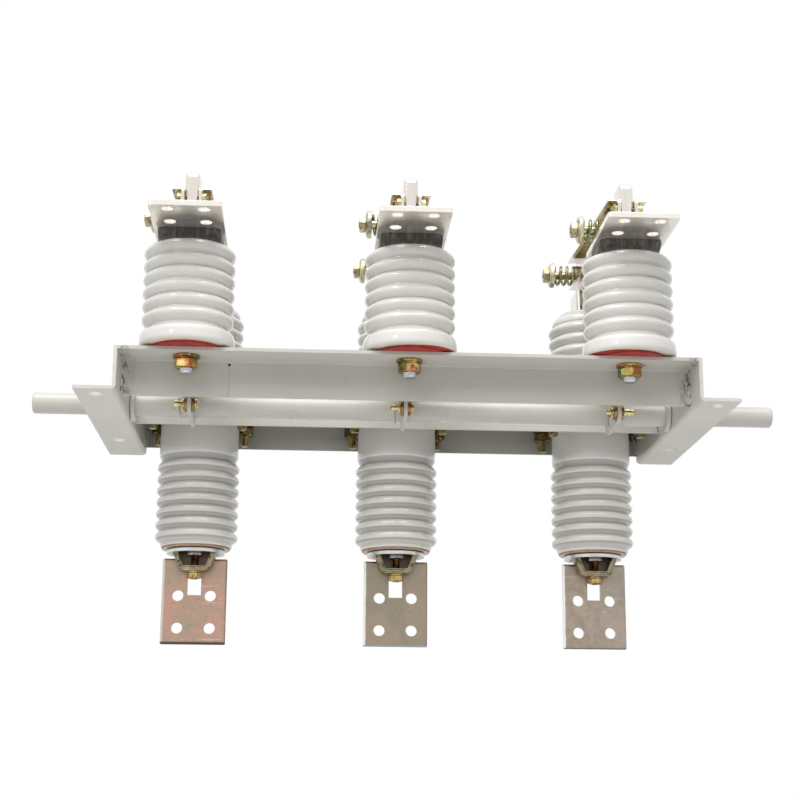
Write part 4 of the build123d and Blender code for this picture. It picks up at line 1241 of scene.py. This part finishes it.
    def blade_bolts(self):
        """Clamp bolts with their springs and dished cups, tip nuts and blade pins."""
        web = WEB_OUT / MM
        seat, cup = web + 4.0, web + 31.5
        clamp = Shape()
        clamp.nut(17.0, web, web + 7.0, DOWN, both=False)
        clamp.turned([(0, -web), (5.0, -web), (5.0, cup), (0, cup)])
        clamp.turned(raised(web, (5.0, 0), (12.8, 0), (13.5, 0.6), (13.5, 1.7), (13.0, 2.0),
                            (13.5, 2.3), (13.5, 3.4), (12.8, 4.0), (5.0, 4.0)), loop=True)
        clamp.nut(17.0, cup + 7.0, cup + 14.0).thread(5.0, 1.5, cup, cup + 15.0)
        clamp = self.mould("clamp_bolt", clamp, turn=AGAINST_X)
        dish = Shape()
        dish.turned(raised(cup, (5.0, 0), (15.2, 0), (15.9, 0.3), (16.3, 1.0), (16.3, 3.4),
                           (15.9, 4.6), (14.8, 5.7), (13.2, 6.5), (11.6, 7.0), (5.0, 7.0)),
                    loop=True)
        dish = self.mould("spring_cup", dish, "cup", AGAINST_X)
        coil = coil_tree()
        for pole in POLES:
            body = pole + "_blade"
            spots = [on_blade(pole, CLAMP_REACH), on_blade(pole, 0.0)]
            self.spread(pole + "_clamp_bolts", "pale", clamp, spots, body,
                        pole + "_blade_bolts", Axis=(1.0, 0.0, 0.0), Seed=5)
            self.spread(pole + "_spring_cups", "cup", dish, spots, body, Axis=(1.0, 0.0, 0.0),
                        Seed=5)
            extra = Shape()
            for side in (-1, 1):
                place = (Matrix.Translation(on_blade(pole, *TIP_NUT) / MM)
                         @ Matrix.Rotation(side * math.pi / 2, 4, "Y"))
                extra.nut(13.0, web, web + 5.0, place)
                extra.thread(4.0, 1.25, web - 3.2, web + 6.5, place)
            end = raised(web, (4.0, 0), (5.0, 0), (5.0, 0.6), (4.0, 1.6), (0, 2))
            extra.turned([(radius, -z) for radius, z in reversed(end)] + end,
                         stand(pole, BLADE_PIN.y, MM, BLADE_PIN.z) @ ALONG_X, columns=24)
            build(pole + "_tip_nuts", extra, "pale", body, "yellow_zinc")
            for i, spot in enumerate(spots):
                place = (Matrix.Translation((spot[0] - (seat + 1.6) * MM, spot[1], spot[2]))
                         @ AGAINST_X)
                wound = coil.grow(pole + "_clamp_spring_" + str(i + 1),
                                  bpy.data.meshes.new("seed"), finish("spring"), 40.0, place,
                                  Turns=sizes().spring_turns, Length=(cup - seat - 3.2) * MM,
                                  Radius=0.0116, Wire=sizes().spring_wire)
                fit(wound, body, "yellow_zinc", *([] if i else [pole + "_springs"]))

    def execute(self, context):
        self.moulds, self.copies = [], copies_tree()
        self.frame_bolts()
        self.strap_bolts()
        self.crank_bolts()
        self.blade_bolts()
        for mould in self.moulds:
            bpy.data.objects.remove(mould)
        return {"FINISHED"}


WHITE = (1.0, 1.0, 1.0, 1.0)
LAMP_AIM = Vector((0.35, 0.0, 0.05))
CAMERA_SPOT = Vector((0.2408, -1.8571, -0.4266))
FLOOR_DROP = 0.45                                    # floor below the lowest point of the part


class DISCONNECTOR_OT_stage(bpy.types.Operator):
    """Floor, soft lights, white surroundings and the camera"""

    bl_idname = "disconnector.stage"
    bl_label = "Stage"

    def lamp(self, name, spot, size, power, shine=True):
        data = bpy.data.lights.new(name, "AREA")
        data.shape = "RECTANGLE"
        data.size, data.size_y = size
        data.energy = power
        piece = bpy.data.objects.new(name, data)
        piece.visible_glossy = shine
        piece.location = spot
        piece.rotation_euler = (LAMP_AIM - Vector(spot)).to_track_quat("-Z", "Y").to_euler()
        bpy.context.scene.collection.objects.link(piece)

    def shown(self, board, rays, factor, first, second):
        """The first closure, with the second mixed in by a factor for some kinds of ray."""
        path = board.add("ShaderNodeLightPath")
        seen = sum((path.value("Is %s Ray" % ray) for ray in rays[1:]),
                   path.value("Is %s Ray" % rays[0])).least(1.0)
        both = board.add("ShaderNodeMixShader", Fac=seen * factor)
        for slot, closure in zip(both.node.inputs[1:], (first, second)):
            board.feed(slot, closure)
        return both.out()

    def floor(self):
        mesh = bpy.data.meshes.new("floor")
        z = CAD_BOX[0][2] - FLOOR_DROP
        mesh.from_pydata([(-6, -6, z), (7, -6, z), (7, 6, z), (-6, 6, z)], [], [(0, 1, 2, 3)])
        f = Finish("Pale_Floor")
        f.base = (0.80, 0.80, 0.79, 1.0)
        mesh.materials.append(f.finished(Roughness=0.8))
        glow = f.add("ShaderNodeEmission", Color=WHITE, Strength=1.0)
        f.output.put("Surface", self.shown(f, ("Camera", "Glossy"), 0.62,
                                           f.shader.out("BSDF"), glow.out()))
        floor = bpy.data.objects.new("floor", mesh)
        bpy.context.scene.collection.objects.link(floor)

    def surroundings(self):
        world = bpy.data.worlds.new("Surroundings")
        bpy.context.scene.world = world
        world.use_nodes = True
        world.node_tree.nodes.clear()
        board = Board(world.node_tree)
        soft = board.add("ShaderNodeBackground", Color=WHITE, Strength=0.32)
        plain = board.add("ShaderNodeBackground", Color=WHITE, Strength=1.0)
        board.add("ShaderNodeOutputWorld").put("Surface", self.shown(
            board, ("Camera", "Glossy", "Transmission"), 1.0, soft.out(), plain.out()))

    def camera(self):
        data = bpy.data.cameras.new("View")
        data.sensor_width = 36.0
        data.lens = 72.0
        data.clip_end = 60.0
        camera = bpy.data.objects.new("View", data)
        up, side, roll = (math.radians(angle) for angle in (13.78, 3.25, 0.39))
        look = Vector((math.sin(side) * math.cos(up), math.cos(side) * math.cos(up), math.sin(up)))
        turn = look.to_track_quat("-Z", "Y").to_matrix().to_4x4()
        camera.matrix_world = (Matrix.Translation(CAMERA_SPOT) @ turn
                               @ Matrix.Rotation(roll, 4, "Z"))
        bpy.context.scene.collection.objects.link(camera)
        bpy.context.scene.camera = camera

    def execute(self, context):
        context.scene.view_settings.view_transform = "Standard"
        self.floor()
        self.surroundings()
        self.lamp("Overhead", (0.2, -1.0, 2.4), (2.6, 1.8), 76.0)
        self.lamp("Front", (-0.2, -2.4, 1.7), (1.5, 1.0), 30.0, shine=False)
        self.lamp("Window", (-1.5, -2.5, 1.1), (0.24, 0.30), 3.0)
        self.camera()
        return {"FINISHED"}


class DISCONNECTOR_PT_sidebar(bpy.types.Panel):
    """Lists the makers of the disconnector's pieces"""

    bl_label = "Knife Disconnector"
    bl_idname = "DISCONNECTOR_PT_sidebar"
    bl_space_type = "VIEW_3D"
    bl_region_type = "UI"
    bl_category = "Disconnector"

    def draw(self, context):
        layout = self.layout
        for group in (context.scene.disconnector_sizes, context.scene.disconnector_colours):
            box = layout.box()
            for name in group.__annotations__:
                box.prop(group, name)
        for maker in MAKERS:
            layout.operator(maker.bl_idname)


MAKERS = (DISCONNECTOR_OT_stage, DISCONNECTOR_OT_frame, DISCONNECTOR_OT_posts,
          DISCONNECTOR_OT_bushings, DISCONNECTOR_OT_contacts, DISCONNECTOR_OT_rods,
          DISCONNECTOR_OT_fasteners)
CLASSES = (DisconnectorSizes, DisconnectorColours) + MAKERS + (DISCONNECTOR_PT_sidebar,)


def register():
    for made in CLASSES:
        bpy.utils.register_class(made)
    bpy.types.Scene.disconnector_sizes = bpy.props.PointerProperty(type=DisconnectorSizes)
    bpy.types.Scene.disconnector_colours = bpy.props.PointerProperty(type=DisconnectorColours)


def unregister():
    del bpy.types.Scene.disconnector_colours
    del bpy.types.Scene.disconnector_sizes
    for made in reversed(CLASSES):
        bpy.utils.unregister_class(made)


def main():
    register()
    for maker in MAKERS:
        group, name = maker.bl_idname.split(".")
        getattr(getattr(bpy.ops, group), name)()
    bpy.context.view_layer.update()


if __name__ == "__main__":
    main()
